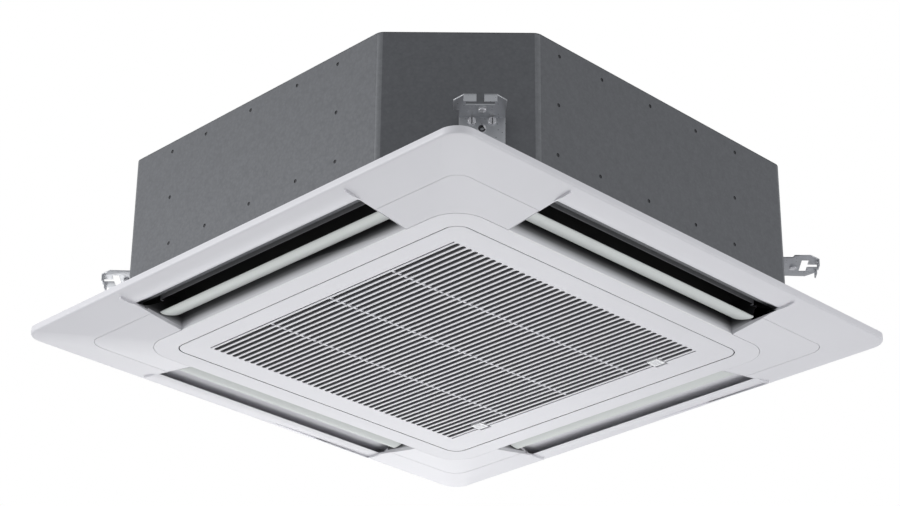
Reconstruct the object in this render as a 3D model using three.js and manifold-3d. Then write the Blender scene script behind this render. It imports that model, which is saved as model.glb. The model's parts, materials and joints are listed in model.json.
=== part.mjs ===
// Four-way ceiling cassette air conditioner, indoor unit with its panel.
// Units are millimetres. +Z is up. The origin is the centre of the panel at the ceiling plane,
// so the panel hangs below z = 0 and the cabinet stands in the ceiling void above it.
// The front is -Y, the side on which the intake grille hinges.
import * as THREE from 'three';
import { mergeVertices } from 'three/addons/utils/BufferGeometryUtils.js';
import Module from 'manifold-3d';

const wasm = await Module();
wasm.setup();

// ---------------------------------------------------------------- driving dimensions

// general
const FIT_GAP = 0.3;             // between pieces that touch
const SHEET = 1.2;               // galvanised sheet of the cabinet
const OVERCUT = 1;               // how far a cutting tool runs past a face
const CORNER_STEPS = 5;          // flats in a rounded corner
const MESH_TOLERANCE = 0.01;     // to which flat faces are merged

// panel
const OUTLET_SETBACK = 85;       // of the line on which the outlets lie, inside the cabinet wall
const INNER_CORNER = 50;         // corner radius of that line
const BORDER_WIDTH = 130;        // from that line out to the rim
const PANEL_CORNER = 30;         // outer corner radius
const PANEL_DEPTH = 30;          // how far the panel hangs below the ceiling
const RIM_HEIGHT = 10.4;         // where the slope would meet the upright rim
const RIM_ROUND = 3.4;           // radius between rim and slope
const PANEL_WALL = 3;            // moulded wall
const BORDER_BACKING = 2.5;      // extra wall behind the corner covers
const SEAT_PLAY = 1.5;           // from the cabinet out to the step round its seat
const SEAT_FLANGE_LAP = 12;      // how far the panel's top flange reaches in under the cabinet

// air outlets
const OUTLET_END_SETBACK = 100;  // of an outlet's end from the corner of the inner line
const THROAT_WIDTH = 39;         // straight upper part of the outlet
const THROAT_START = 10;         // height at which the straight part begins
const HOUSING_TOP = 22;          // top of the outlet housings
const LIP_SETBACK = 12.5;        // from the rim to the start of the rolled lip
const LIP_BELLY = 42;            // from the throat out to the lip's fullest point
const LIP_LEAVE = 16.425;        // from the start of the lip in to where it leaves the slope
const LIP_SAG = 20;              // depth of the curve's control point there

// corner covers
const COVER_BAND = 59.5;         // width of a cover, from the inner line outward
const COVER_CORNER = 27;
const COVER_WALL = 2.2;
const COVER_GROOVE = 0.7;

// vanes
const VANE_CHORD = 44;
const VANE_THICK = 5.6;
const VANE_CAMBER = 2.4;
const VANE_END_GAP = 5;          // from a vane's end to the end of its outlet
const VANE_INSET = 25.5;         // from the inner wall out to the middle of the blade
const VANE_HEIGHT = -12.5;       // height of the middle of the blade
const VANE_TILT = 17.5;          // degrees below level, outer edge down
const VANE_ARM = 6;              // from the blade up to its pivot
const VANE_ARM_WALL = 3;
const VANE_PIN_R = 2.5;
const PIN_CLEARANCE = 0.5;

// vane motors
const VANE_MOTOR_R = 13;
const VANE_MOTOR_LENGTH = 18;
const VANE_MOTOR_OFFSET = 8;     // of the can above its shaft
const VANE_MOTOR_SOCKET = 5;     // how far the pin enters the motor

// intake grille
const GRILLE_MARGIN = 34.4;      // flat margin of the panel, from the inner line inward
const GRILLE_EDGE_GAP = 1.6;
const GRILLE_CORNER = 22;
const GRILLE_PLATE = 2.8;
const GRILLE_DEPTH = 12;
const GRILLE_SKIRT = 2.5;
const GRILLE_EDGE_ROUND = 2.5;
const SLAT_COUNT = 44;
const SLAT_SETBACK = 84.85;      // of the end slats inside the inner line
const SLAT_WIDTH = 4.2;
const SLAT_END_SETBACK = 79;     // of a slat's end inside the inner line
const SLAT_FIELD_SHIFT = -7.8;   // the slats lie nearer the hinge than the latches
const END_SLOT_WIDTH = 2.6;
const FIELD_WALL = 4;
const RIB_PITCH = 132;
const RIB_WIDTH = 3;
const RIB_RECESS = 3;

// grille hinge
const HINGE_SETBACK = 66;        // of each hinge from the end of the slats
const HINGE_PIN_R = 1.5;
const HINGE_EYE_WALL = 1.3;
const HINGE_EYE_WIDTH = 10;
const HINGE_CHEEK = 2;
const HINGE_PIN_INSET = 22;      // of the pin from the grille's edge
const HINGE_ARM_HEIGHT = 4;
const HINGE_FOOT = 14;           // of the lug's foot along the panel margin
const HINGE_SWEEP_PLAY = 0.8;    // from the swinging skirt to the arm over it
const HINGE_CHEEK_HALF = 5;      // of each cheek, front to back of the pin

// grille latches
const LATCH_SETBACK = 74;        // of each latch from the end of the slats
const LATCH_WIDTH = 21;
const LATCH_LENGTH = 20;
const LATCH_INSET = 14.6;        // from the last slat in to the middle of the latch
const LATCH_TRAVEL = 5;
const LATCH_PROUD = 0.6;
const LATCH_PLATE = 2;
const LATCH_PLATE_LAP = 4;
const LATCH_TONGUE_WIDTH = 16;
const STRIKE_DEPTH = 7;
const STRIKE_GAP = 2.5;          // from the grille's edge to the strike

// air filter
const FILTER_HEIGHT = 5.6;
const FILTER_FRAME = 7;
const FILTER_BAR = 4;
const FILTER_NET = 0.8;
const FILTER_INSET = 2;

// cabinet
const CABINET_HALF = 430;
const CUT_BEYOND_OUTLET = 72;    // leg of each cut corner, over the setback of the outlets
const CABINET_HEIGHT = 240;
const FLANGE_SETBACK = 65;       // of the cabinet's flange from the line of the outlets
const CORNER_FLANGE = 24;        // flange behind the cut corners, which takes the panel screws
const LINING = 11;
const LINING_START = 10;
const TOP_FOAM = 14;             // foam under the top plate, above the heat exchanger

// panel screws
const PANEL_SCREW_SETBACK = 13;  // inward from the cut corner of the cabinet
const PANEL_SCREW_R = 2.5;
const PANEL_SCREW_HEAD_R = 5;
const PANEL_SCREW_HEAD = 3.2;
const PANEL_SCREW_TIP = 8;
const PANEL_BOSS_R = 8.5;
const BOSS_LEDGE = -20;

// drain pan
const PAN_HEIGHT = 40;
const TROUGH_DEPTH = 18;
const TROUGH_PLAY = 6;
const DUCT_WALL_STEP = 1;        // the pan's ducts are this much wider than the throats

// bell mouth
const BELL_SETBACK = 70;         // of the bell mouth's throat inside the fan
const BELL_FLARE = 40;
const BELL_FLANGE = 33;
const BELL_COLLAR = 12;
const BELL_WALL = 2.2;

// turbo fan
const FAN_PLAY = 33;             // from the fan out to the fins
const FAN_SHROUD_RISE = 32;
const FAN_EYE_GAP = 2.8;
const FAN_WALL = 2.4;
const FAN_LAP = 6;               // of the shroud below the top of the bell mouth
const BLADE_COUNT = 7;
const BLADE_SPAN = 85;           // of a blade, from its inner edge out to the fan's edge
const BLADE_THICK = 7;
const HUB_CUP_R = 74;
const HUB_CUP_DEPTH = 56;
const HUB_BOSS_R = 20;
const HUB_BOSS_HEIGHT = 12;

// fan motor
const MOTOR_R = 62;
const MOTOR_HEIGHT = 68;
const MOTOR_CUP_GAP = 6;
const MOTOR_EAR_REACH = 92;
const MOTOR_EAR_R = 13;
const MOTOR_EAR_THICK = 4;
const DAMPER_R = 11;
const DAMPER_HEIGHT = 10.3;
const SHAFT_R = 6;
const SHAFT_PLAY = 0.5;
const SHAFT_BELOW_HUB = 14;
const SHAFT_IN_MOTOR = 30;
const NUT_HEIGHT = 8;
const NUT_R = 11;
const WASHER_R = 15;
const WASHER = 2;

// heat exchanger
const COIL_SETBACK = 112;        // of the fins inside the cabinet wall
const COIL_THICK = 50;
const COIL_CORNER = 100;
const COIL_OPEN_CORNER = 128;    // width of the corner that the fins leave free
const END_PLATE = 1.5;
const BEND_COUNT = 5;
const BEND_ROWS = [0.2, 0.5];    // where they stand across the fins
const BEND_SPACE = 5.46;         // from a bend's middle line to halfway to the next bend
const BEND_TUBE_R = 4.75;

// pipes
const GAS_R = 7.94;
const LIQUID_R = 4.76;
const GAS_SETBACK = 33;          // of the gas pipe from the cut corner
const GAS_DROP = 54;             // of the gas pipe below the top
const PIPE_SPREAD = 48;          // between the two pipes
const PIPE_DROP = 26;            // of the liquid pipe below the gas pipe
const HEADER_R = 9.5;
const HEADER_STANDOFF = 22;
const HEADER_OFFSET = 13;        // of the headers from the middle of the fins
const PIPE_REACH = 18;           // of a pipe beyond the cabinet
const NUT_LENGTH = 20;
const FLARE_WALL = 6;
const FLARE_CAP = 6;             // from the pipe's end to the nut's
const PIPE_PLATE_MARGIN = 14;

// drain
const PUMP_R = 28;
const PUMP_HEIGHT = 50;
const PUMP_DROP = 123.7;         // of the pump's bracket below the top
const PUMP_SETBACK = 47;         // of the pump from the outside of the coil, both ways
const PUMP_PLATE_OUTER = 40;     // from the pump out to the edges of its bracket
const PUMP_PLATE_PLAY = 26;      // of its other two edges, inside half the free corner
const PUMP_LEG_OUTER = 10;       // widths of the bracket's two legs
const PUMP_LEG_INNER = 12;
const SUCTION_R = 9;
const FLOAT_R = 10;
const FLOAT_STEM_R = 4;
const DRAIN_SOCKET_R = 16;
const DRAIN_BORE_R = 13;
const DRAIN_REACH = 32;
const DRAIN_SETBACK = 23;        // of the drain socket from the cut corner
const DRAIN_DROP = 42;           // of the drain socket below the top
const HOSE_R = 10;
const HEADER_LIFT = 12;          // of the headers' feet above the pan
const FLOAT_OFFSET_X = 28;       // of the float switch from the pump
const FLOAT_OFFSET_Y = 27;

// cable gland
const GLAND_SETBACK = 73;        // of the gland from the cut corner
const GLAND_Z = 90;
const GLAND_R = 14;
const GLAND_COLLAR = 5;
const GLAND_WALL = 4;

// control box
const BOX_HALF = 150;
const BOX_WIDTH = 54;
const BOX_DEPTH = 27;
const BOX_WALL = 1.5;
const BOX_GAP = 8;               // from the bell mouth's flange
const BOARD = 1.6;
const BOARD_STANDOFF = 9;

// hanger brackets
const BRACKET_WIDTH = 64;
const BRACKET_SHEET = 2;
const BRACKET_EAR_Z = 102.4;     // underside of the ear
const BRACKET_DROP = 57;         // of the wall plate below the ear
const BRACKET_REACH = 63;
const BRACKET_STEP_AT = 21;      // where one edge of the ear steps out
const BRACKET_STEP = 7.5;
const BRACKET_CORNER_CUT = 15;
const BRACKET_OFFSET = 33;       // along the cut corner
const SLOT_WINDOW = 40;
const SLOT_WINDOW_DEPTH = 11;
const SLOT_MOUTH = 10.8;
const SLOT_MOUTH_DEPTH = 16;
const SLOT_SHIFT = -3;
const LIP_DROP = 9.6;
const LIP_WIDTH = 17.5;
const SCREW_HEAD_R = 5.6;
const SCREW_HEAD = 3.6;
const SCREW_SPREAD = 14;

// ---------------------------------------------------------------- derived places

const INNER_HALF = CABINET_HALF - OUTLET_SETBACK;
const CABINET_CUT = OUTLET_SETBACK + CUT_BEYOND_OUTLET;
const CABINET_FLANGE = OUTLET_SETBACK - FLANGE_SETBACK;
const PANEL_HALF = INNER_HALF + BORDER_WIDTH;
const GRILLE_OPENING = INNER_HALF - GRILLE_MARGIN;
const GRILLE_HALF = GRILLE_OPENING - GRILLE_EDGE_GAP;
const OUTLET_HALF = INNER_HALF - OUTLET_END_SETBACK;
const THROAT_OUTER = INNER_HALF + THROAT_WIDTH;
const LIP_START = PANEL_HALF - LIP_SETBACK;
const COVER_HALF = INNER_HALF + COVER_BAND;
const SEAT_FLANGE_HALF = CABINET_HALF - SEAT_FLANGE_LAP;
const CABINET_BASE = 0;
const CABINET_TOP = CABINET_BASE + CABINET_HEIGHT;
const CEILING_UNDER = CABINET_TOP - SHEET;
const PAN_BASE = HOUSING_TOP + FIT_GAP;
const PAN_TOP = PAN_BASE + PAN_HEIGHT;
const TROUGH_FLOOR = PAN_TOP - TROUGH_DEPTH;
const COIL_BASE = TROUGH_FLOOR + FIT_GAP;
const COIL_TOP = CEILING_UNDER - TOP_FOAM - 2 * FIT_GAP;
const COIL_HALF = CABINET_HALF - COIL_SETBACK;
const COIL_INNER = COIL_HALF - COIL_THICK;
const BEND_R = (COIL_TOP - COIL_BASE) / BEND_COUNT / 2 - BEND_SPACE;
const COIL_END = COIL_HALF - COIL_OPEN_CORNER;
const LINING_OUTER = CABINET_HALF - SHEET - FIT_GAP;
const LINING_INNER = LINING_OUTER - LINING;
const CUT_WALL = (2 * CABINET_HALF - CABINET_CUT) / Math.SQRT2;  // from the centre to a cut corner
const FAN_R = COIL_INNER - FAN_PLAY;
const BLADE_INNER_R = FAN_R - BLADE_SPAN;
const BELL_THROAT_R = FAN_R - BELL_SETBACK;
const BELL_BASE = PAN_BASE - FIT_GAP - BELL_WALL;
const BELL_INLET_R = BELL_THROAT_R + BELL_FLARE;
const BELL_TOP = BELL_BASE + BELL_FLARE + BELL_COLLAR;
const FAN_BASE = BELL_TOP - FAN_LAP;
const MOTOR_TOP = CEILING_UNDER - DAMPER_HEIGHT - 2 * FIT_GAP;
const MOTOR_BASE = MOTOR_TOP - MOTOR_HEIGHT;
const HUB_FLOOR = MOTOR_BASE - MOTOR_CUP_GAP - FAN_WALL;
const FAN_TOP = HUB_FLOOR + HUB_CUP_DEPTH;
const GRILLE_FACE = -PANEL_DEPTH;
const FIELD_TOP = GRILLE_FACE + GRILLE_DEPTH;
const SLAT_HALF_LENGTH = INNER_HALF - SLAT_END_SETBACK;
const SLAT_PITCH = 2 * (INNER_HALF - SLAT_SETBACK) / (SLAT_COUNT - 1);
const FIRST_SLAT_Y = SLAT_FIELD_SHIFT - (SLAT_COUNT - 1) * SLAT_PITCH / 2;
const LAST_SLAT_Y = SLAT_FIELD_SHIFT + (SLAT_COUNT - 1) * SLAT_PITCH / 2;
const FIELD_FRONT = FIRST_SLAT_Y - SLAT_WIDTH / 2 - END_SLOT_WIDTH;
const FIELD_BACK = LAST_SLAT_Y + SLAT_WIDTH / 2 + END_SLOT_WIDTH;
const HINGE_SPREAD = SLAT_HALF_LENGTH - HINGE_SETBACK;
const HINGE_Y = -(GRILLE_HALF - HINGE_PIN_INSET);
const HINGE_EYE_R = HINGE_PIN_R + PIN_CLEARANCE + HINGE_EYE_WALL;
const HINGE_Z = GRILLE_FACE + GRILLE_PLATE + HINGE_EYE_R + FIT_GAP;
const LATCH_SPREAD = SLAT_HALF_LENGTH - LATCH_SETBACK;
const LATCH_Y = LAST_SLAT_Y - LATCH_INSET + LATCH_LENGTH / 2;
const BOX_TOP = PAN_BASE - FIT_GAP;
const BOX_BASE = BOX_TOP - BOX_DEPTH;
const BOX_FRONT = BELL_INLET_R + BELL_FLANGE + BOX_GAP;
const SCREW_PLACE = (CUT_WALL - PANEL_SCREW_SETBACK) / Math.SQRT2;
const FLAT_WALL_END = CABINET_HALF - CABINET_CUT;  // where a flat side meets the cut corner
const GAS_Y = FLAT_WALL_END - GAS_SETBACK;
const GAS_Z = CABINET_TOP - GAS_DROP;
const LIQUID_Y = GAS_Y - PIPE_SPREAD;
const LIQUID_Z = GAS_Z - PIPE_DROP;
const DRAIN_X = -(FLAT_WALL_END - DRAIN_SETBACK);
const DRAIN_Z = CABINET_TOP - DRAIN_DROP;
const GLAND_X = FLAT_WALL_END - GLAND_SETBACK;
const PUMP_X = -(COIL_HALF - PUMP_SETBACK);
const PUMP_Y = COIL_HALF - PUMP_SETBACK;
const PUMP_PLATE_INNER = COIL_OPEN_CORNER / 2 - PUMP_PLATE_PLAY;
const PUMP_BRACKET_Z = CABINET_TOP - PUMP_DROP;
const FLOAT_X = PUMP_X + FLOAT_OFFSET_X;
const FLOAT_Y = PUMP_Y + FLOAT_OFFSET_Y;
const HEADER_MID = (COIL_INNER + COIL_HALF) / 2;
const HEADER_FOOT = PAN_TOP + HEADER_LIFT;
const PIPE_END = CABINET_HALF + PIPE_REACH;
const EYE_R = BELL_THROAT_R + BELL_WALL + FAN_EYE_GAP;

const TILT = THREE.MathUtils.degToRad(VANE_TILT);
const VANE_U = INNER_HALF + VANE_INSET;
const PIVOT_U = VANE_U + VANE_ARM * Math.sin(TILT);
const PIVOT_Z = VANE_HEIGHT + VANE_ARM * Math.cos(TILT);

// The four sides, each turned from the one whose outlet faces +X.
const SIDES = [
  { name: 'right', turn: 0 },
  { name: 'back', turn: Math.PI / 2 },
  { name: 'left', turn: Math.PI },
  { name: 'front', turn: -Math.PI / 2 },
];
// The four corners, each turned from the one at +X +Y. A bracket is offset along its corner.
const CORNERS = [
  { name: 'back_right', turn: 0, offset: -BRACKET_OFFSET },
  { name: 'back_left', turn: Math.PI / 2, offset: BRACKET_OFFSET },
  { name: 'front_left', turn: Math.PI, offset: -BRACKET_OFFSET },
  { name: 'front_right', turn: -Math.PI / 2, offset: BRACKET_OFFSET },
];

// ---------------------------------------------------------------- materials

function finish(color, roughness, metalness) {
  return { color, roughness, metalness };
}
const PANEL_WHITE = finish('#e0dfe4', 0.45, 0);
const VANE_GREY = finish('#c9cfca', 0.5, 0);
const GALVANISED = finish('#5c5e63', 0.6, 0.6);
const ZINC = finish('#b9bbbf', 0.4, 0.8);
const FOAM = finish('#e8e8e6', 0.9, 0);
const DARK_FOAM = finish('#2b2c2e', 0.95, 0);
const BLACK_PLASTIC = finish('#2a2b2c', 0.55, 0);
const GREY_PLASTIC = finish('#8d9093', 0.55, 0);
const FIN_ALUMINIUM = finish('#b4bcc4', 0.5, 0.7);
const COPPER = finish('#b06a3f', 0.4, 0.9);
const BRASS = finish('#b79a55', 0.35, 0.9);
const STEEL = finish('#7b7e82', 0.4, 0.8);
const RUBBER = finish('#1f1f20', 0.9, 0);
const BOARD_GREEN = finish('#2f5d43', 0.6, 0);
const NET_GREY = finish('#4a4c50', 0.9, 0);

// ---------------------------------------------------------------- solids

// A closed three.js geometry as a solid that can be joined and cut.
function solid(geometry) {
  const bare = geometry.clone();
  for (const name of Object.keys(bare.attributes)) {
    if (name !== 'position') bare.deleteAttribute(name);
  }
  const merged = mergeVertices(bare, 1e-4);
  const mesh = new wasm.Mesh({
    numProp: 3,
    vertProperties: Float32Array.from(merged.attributes.position.array),
    triVerts: Uint32Array.from(merged.index.array),
  });
  return new wasm.Manifold(mesh);
}

function geometryOf(body) {
  const mesh = body.asOriginal().simplify(MESH_TOLERANCE).getMesh();
  const geometry = new THREE.BufferGeometry();
  geometry.setAttribute('position', new THREE.BufferAttribute(mesh.vertProperties, 3));
  geometry.setIndex(new THREE.BufferAttribute(mesh.triVerts, 1));
  const faceted = geometry.toNonIndexed();
  faceted.computeVertexNormals();
  return faceted;
}

function join(...bodies) {
  return bodies.reduce((sum, body) => sum.add(body));
}

function cut(body, ...tools) {
  return tools.reduce((rest, tool) => rest.subtract(tool), body);
}

function box(x0, x1, y0, y1, z0, z1) {
  const geometry = new THREE.BoxGeometry(x1 - x0, y1 - y0, z1 - z0);
  return solid(geometry.translate((x0 + x1) / 2, (y0 + y1) / 2, (z0 + z1) / 2));
}

function upright(radius, x, y, z0, z1, sides = 32) {
  const geometry = new THREE.CylinderGeometry(radius, radius, z1 - z0, sides);
  geometry.rotateX(Math.PI / 2);
  return solid(geometry.translate(x, y, (z0 + z1) / 2));
}

function alongX(radius, y, z, x0, x1, sides = 24) {
  const geometry = new THREE.CylinderGeometry(radius, radius, x1 - x0, sides);
  geometry.rotateZ(-Math.PI / 2);
  return solid(geometry.translate((x0 + x1) / 2, y, z));
}

function alongY(radius, x, z, y0, y1, sides = 24) {
  const geometry = new THREE.CylinderGeometry(radius, radius, y1 - y0, sides);
  return solid(geometry.translate(x, (y0 + y1) / 2, z));
}

function shapeOf(points) {
  return new THREE.Shape(points.map(([x, y]) => new THREE.Vector2(x, y)));
}

// An outline in plan, raised from z0 to z1.
function prism(points, z0, z1) {
  const geometry = new THREE.ExtrudeGeometry(shapeOf(points), { depth: z1 - z0, bevelEnabled: false });
  return solid(geometry.translate(0, 0, z0));
}

// A section in x and z, drawn out along y from y0 to y1.
function bar(section, y0, y1) {
  const shape = shapeOf(section);
  const geometry = new THREE.ExtrudeGeometry(shape, { depth: y1 - y0, bevelEnabled: false });
  geometry.rotateX(Math.PI / 2);
  return solid(geometry.translate(0, y1, 0));
}

// A section in y and z, drawn out along x from x0 to x1.
function beam(section, x0, x1) {
  const shape = shapeOf(section);
  const geometry = new THREE.ExtrudeGeometry(shape, { depth: x1 - x0, bevelEnabled: false });
  geometry.rotateX(Math.PI / 2);
  geometry.rotateZ(Math.PI / 2);
  return solid(geometry.translate(x0, 0, 0));
}

// A profile of [radius, z] points turned about the z axis.
function turned(profile, segments = 28) {
  const points = profile.map(([r, z]) => new THREE.Vector2(r, z));
  points.push(points[0].clone());
  const geometry = new THREE.LatheGeometry(points, segments);
  geometry.rotateX(Math.PI / 2);
  const body = solid(geometry);
  return body.volume() < 0 ? solid(flipped(geometry)) : body;
}

function flipped(geometry) {
  const index = geometry.index.array;
  for (let i = 0; i < index.length; i += 3) {
    [index[i], index[i + 1]] = [index[i + 1], index[i]];
  }
  return geometry;
}

// A round tube along a path of points.
function tube(points, radius, steps, sides = 10) {
  const path = new THREE.CatmullRomCurve3(points.map((p) => new THREE.Vector3(...p)), false, 'centripetal');
  const ring = new THREE.Shape();
  ring.absarc(0, 0, radius, 0, 2 * Math.PI);
  const options = { extrudePath: path, steps, curveSegments: sides / 2, bevelEnabled: false };
  return solid(new THREE.ExtrudeGeometry(ring, options));
}

// Points round a square with rounded corners, the same number for every square.
function roundedSquare(half, corner, cornerSteps = CORNER_STEPS) {
  const radius = Math.min(corner, half * 0.99);
  const centre = half - radius;
  const points = [];
  const quarters = [[1, 1, 0], [-1, 1, 1], [-1, -1, 2], [1, -1, 3]];
  for (const [sx, sy, quarter] of quarters) {
    for (let i = 0; i <= cornerSteps; i += 1) {
      const angle = (quarter + i / cornerSteps) * Math.PI / 2;
      points.push([sx * centre + radius * Math.cos(angle), sy * centre + radius * Math.sin(angle)]);
    }
  }
  return points;
}

// A frame whose section is a closed loop of [half width, corner radius, z] squares.
function squareRing(loop, cornerSteps = CORNER_STEPS) {
  return solid(loftGeometry(loop.map(([half, corner, z]) => ({ half, corner, z })), cornerSteps, true));
}

// A block built of such squares from the bottom up, closed at both ends.
function squareStack(levels, cornerSteps = CORNER_STEPS) {
  return solid(loftGeometry(levels.map(([half, corner, z]) => ({ half, corner, z })), cornerSteps, false));
}

function loftGeometry(levels, cornerSteps, isLoop) {
  const positions = [];
  const rings = levels.map(({ half, corner }) => roundedSquare(half, corner, cornerSteps));
  const count = rings[0].length;
  rings.forEach((ring, level) => ring.forEach(([x, y]) => positions.push(x, y, levels[level].z)));
  const index = [];
  const last = isLoop ? rings.length : rings.length - 1;
  for (let level = 0; level < last; level += 1) {
    const above = (level + 1) % rings.length;
    for (let i = 0; i < count; i += 1) {
      const j = (i + 1) % count;
      const [a, b] = [level * count + i, level * count + j];
      const [c, d] = [above * count + j, above * count + i];
      index.push(a, b, c, a, c, d);
    }
  }
  if (!isLoop) {
    for (let i = 1; i < count - 1; i += 1) {
      index.push(0, i + 1, i);
      const top = last * count;
      index.push(top, top + i, top + i + 1);
    }
  }
  const geometry = new THREE.BufferGeometry();
  geometry.setAttribute('position', new THREE.Float32BufferAttribute(positions, 3));
  geometry.setIndex(index);
  return geometry;
}

// An eight-sided outline: a square with its corners cut.
function octagon(half, leg) {
  const inner = half - leg;
  return [
    [half, -inner], [half, inner], [inner, half], [-inner, half],
    [-half, inner], [-half, -inner], [-inner, -half], [inner, -half],
  ];
}

// The cabinet's outline, drawn in by an inset that is the same on straight and cut sides.
function cabinetOutline(inset) {
  return octagon(CABINET_HALF - inset, CABINET_CUT - inset * (2 - Math.SQRT2));
}

function turnedBody(body, turn) {
  return body.rotate([0, 0, THREE.MathUtils.radToDeg(turn)]);
}

// ---------------------------------------------------------------- panel

function slopeHeight(u) {
  return -PANEL_DEPTH + (u - INNER_HALF) * (PANEL_DEPTH - RIM_HEIGHT) / BORDER_WIDTH;
}

function slopeCorner(u) {
  return INNER_CORNER + (u - INNER_HALF) * (PANEL_CORNER - INNER_CORNER) / BORDER_WIDTH;
}

// One square of the sloped border, lifted above its outer face.
function slopeLevel(u, lift) {
  return [u, slopeCorner(u), slopeHeight(u) + lift];
}

// The rolled lip of an outlet, from the sloped border up to the straight throat, pushed
// outward by an offset.
function lipCurve(offset) {
  const start = new THREE.Vector2(LIP_START, slopeHeight(LIP_START));
  const end = new THREE.Vector2(THROAT_OUTER, THROAT_START);
  const leave = new THREE.Vector2(LIP_START - LIP_LEAVE, slopeHeight(LIP_START) - RIM_ROUND * 0.8);
  const belly = new THREE.Vector2(THROAT_OUTER + LIP_BELLY, -LIP_SAG);
  const curve = new THREE.CubicBezierCurve(start, leave, belly, end);
  const steps = 6;
  const points = [];
  for (let i = 0; i <= steps; i += 1) {
    const point = curve.getPoint(i / steps);
    const along = curve.getTangent(i / steps);
    points.push([point.x - along.y * offset * -1, point.y + along.x * offset * -1]);
  }
  return points;
}

function outletHousing() {
  const outside = lipCurve(PANEL_WALL + 0.5);
  outside[0] = [LIP_START, outside[0][1]];
  const top = outside[outside.length - 1];
  const section = [
    [INNER_HALF - PANEL_WALL, -PANEL_DEPTH + PANEL_WALL / 2],
    [INNER_HALF, -PANEL_DEPTH + PANEL_WALL / 2],
    [LIP_START, slopeHeight(LIP_START) + PANEL_WALL / 2],
    ...outside,
    [THROAT_OUTER + PANEL_WALL, Math.max(top[1], THROAT_START)],
    [THROAT_OUTER + PANEL_WALL, HOUSING_TOP],
    [INNER_HALF - PANEL_WALL, HOUSING_TOP],
  ];
  const half = OUTLET_HALF + PANEL_WALL;
  return bar(section, -half, half);
}

function outletVoid() {
  const section = [
    [INNER_HALF, -2 * PANEL_DEPTH],
    [LIP_START, -2 * PANEL_DEPTH],
    ...lipCurve(0),
    [THROAT_OUTER, HOUSING_TOP + OVERCUT],
    [INNER_HALF, HOUSING_TOP + OVERCUT],
  ];
  return bar(section, -OUTLET_HALF, OUTLET_HALF);
}

function pivotHoles() {
  const reach = OUTLET_HALF + PANEL_WALL + OVERCUT;
  return alongY(VANE_PIN_R + PIN_CLEARANCE, PIVOT_U, PIVOT_Z, -reach, reach, 12);
}

// The plan outline of the corner cover at +X +Y, drawn in by an inset.
function coverOutline(inset) {
  const outer = COVER_HALF - inset;
  const outerCentre = COVER_HALF - COVER_CORNER;
  const innerCentre = INNER_HALF - INNER_CORNER;
  const outerR = COVER_CORNER - inset;
  const innerR = INNER_CORNER + inset;
  const start = OUTLET_HALF + PANEL_WALL * 0.1 + inset;
  const steps = CORNER_STEPS;
  const points = [[outer, start]];
  for (let i = 0; i <= steps; i += 1) {
    const angle = i / steps * Math.PI / 2;
    points.push([outerCentre + outerR * Math.cos(angle), outerCentre + outerR * Math.sin(angle)]);
  }
  points.push([start, outer]);
  points.push([start, INNER_HALF + inset]);
  for (let i = steps; i >= 0; i -= 1) {
    const angle = i / steps * Math.PI / 2;
    points.push([innerCentre + innerR * Math.cos(angle), innerCentre + innerR * Math.sin(angle)]);
  }
  points.push([INNER_HALF + inset, start]);
  return points;
}

// A slab of the sloped border between two heights above its outer face.
function slopeSlab(from, to) {
  return squareRing([
    slopeLevel(PANEL_HALF - RIM_ROUND, from),
    slopeLevel(PANEL_HALF - RIM_ROUND, to),
    slopeLevel(INNER_HALF, to),
    slopeLevel(INNER_HALF, from),
  ]);
}

function coverPrism(inset) {
  return prism(coverOutline(inset), -2 * PANEL_DEPTH, 0);
}

function cornerCover() {
  return slopeSlab(0, COVER_WALL).intersect(coverPrism(COVER_GROOVE));
}

function coverRecess() {
  return slopeSlab(-OVERCUT, COVER_WALL + FIT_GAP).intersect(coverPrism(0));
}

// The lug on the panel that carries one hinge pin of the grille, at x = 0.
function hingeLug() {
  const legHalf = HINGE_EYE_R * 0.8;
  const sweep = Math.hypot(HINGE_PIN_INSET, FIELD_TOP - HINGE_Z);
  const armBottom = HINGE_Z + sweep + HINGE_SWEEP_PLAY;
  const armTop = armBottom + HINGE_ARM_HEIGHT;
  const footInner = -(GRILLE_OPENING + STRIKE_GAP);
  const footOuter = footInner - HINGE_FOOT;
  const plateTop = GRILLE_FACE + PANEL_WALL / 2;
  const section = [
    [footOuter, plateTop],
    [footInner, plateTop],
    [footInner, armBottom],
    [HINGE_Y - legHalf, armBottom],
    [HINGE_Y - legHalf, HINGE_Z],
    [HINGE_Y + legHalf, HINGE_Z],
    [HINGE_Y + legHalf, armTop],
    [footOuter, armTop],
  ];
  const half = HINGE_EYE_WIDTH / 2;
  const lug = join(beam(section, -half, half), alongX(HINGE_EYE_R, HINGE_Y, HINGE_Z, -half, half, 20));
  const bore = alongX(HINGE_PIN_R + PIN_CLEARANCE, HINGE_Y, HINGE_Z, -half - OVERCUT, half + OVERCUT, 16);
  return cut(lug, bore);
}

// The strike on the panel over which a latch's tongue slides, at x = 0.
function strike() {
  const half = LATCH_TONGUE_WIDTH / 2 + 2;
  const inner = GRILLE_HALF + STRIKE_GAP;
  return box(-half, half, inner, inner + STRIKE_DEPTH, GRILLE_FACE + PANEL_WALL / 2, FIELD_TOP);
}

// The boss through which a corner screw pulls the panel up to the cabinet.
function screwBoss() {
  return upright(PANEL_BOSS_R, SCREW_PLACE, SCREW_PLACE, GRILLE_FACE + PANEL_WALL, -FIT_GAP, 14);
}

function screwBore() {
  const place = [SCREW_PLACE, SCREW_PLACE];
  const wide = upright(PANEL_SCREW_HEAD_R + 1, ...place, -2 * PANEL_DEPTH, BOSS_LEDGE, 14);
  const narrow = upright(PANEL_SCREW_R + PIN_CLEARANCE, ...place, BOSS_LEDGE - OVERCUT, OVERCUT, 10);
  return join(wide, narrow);
}

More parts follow.
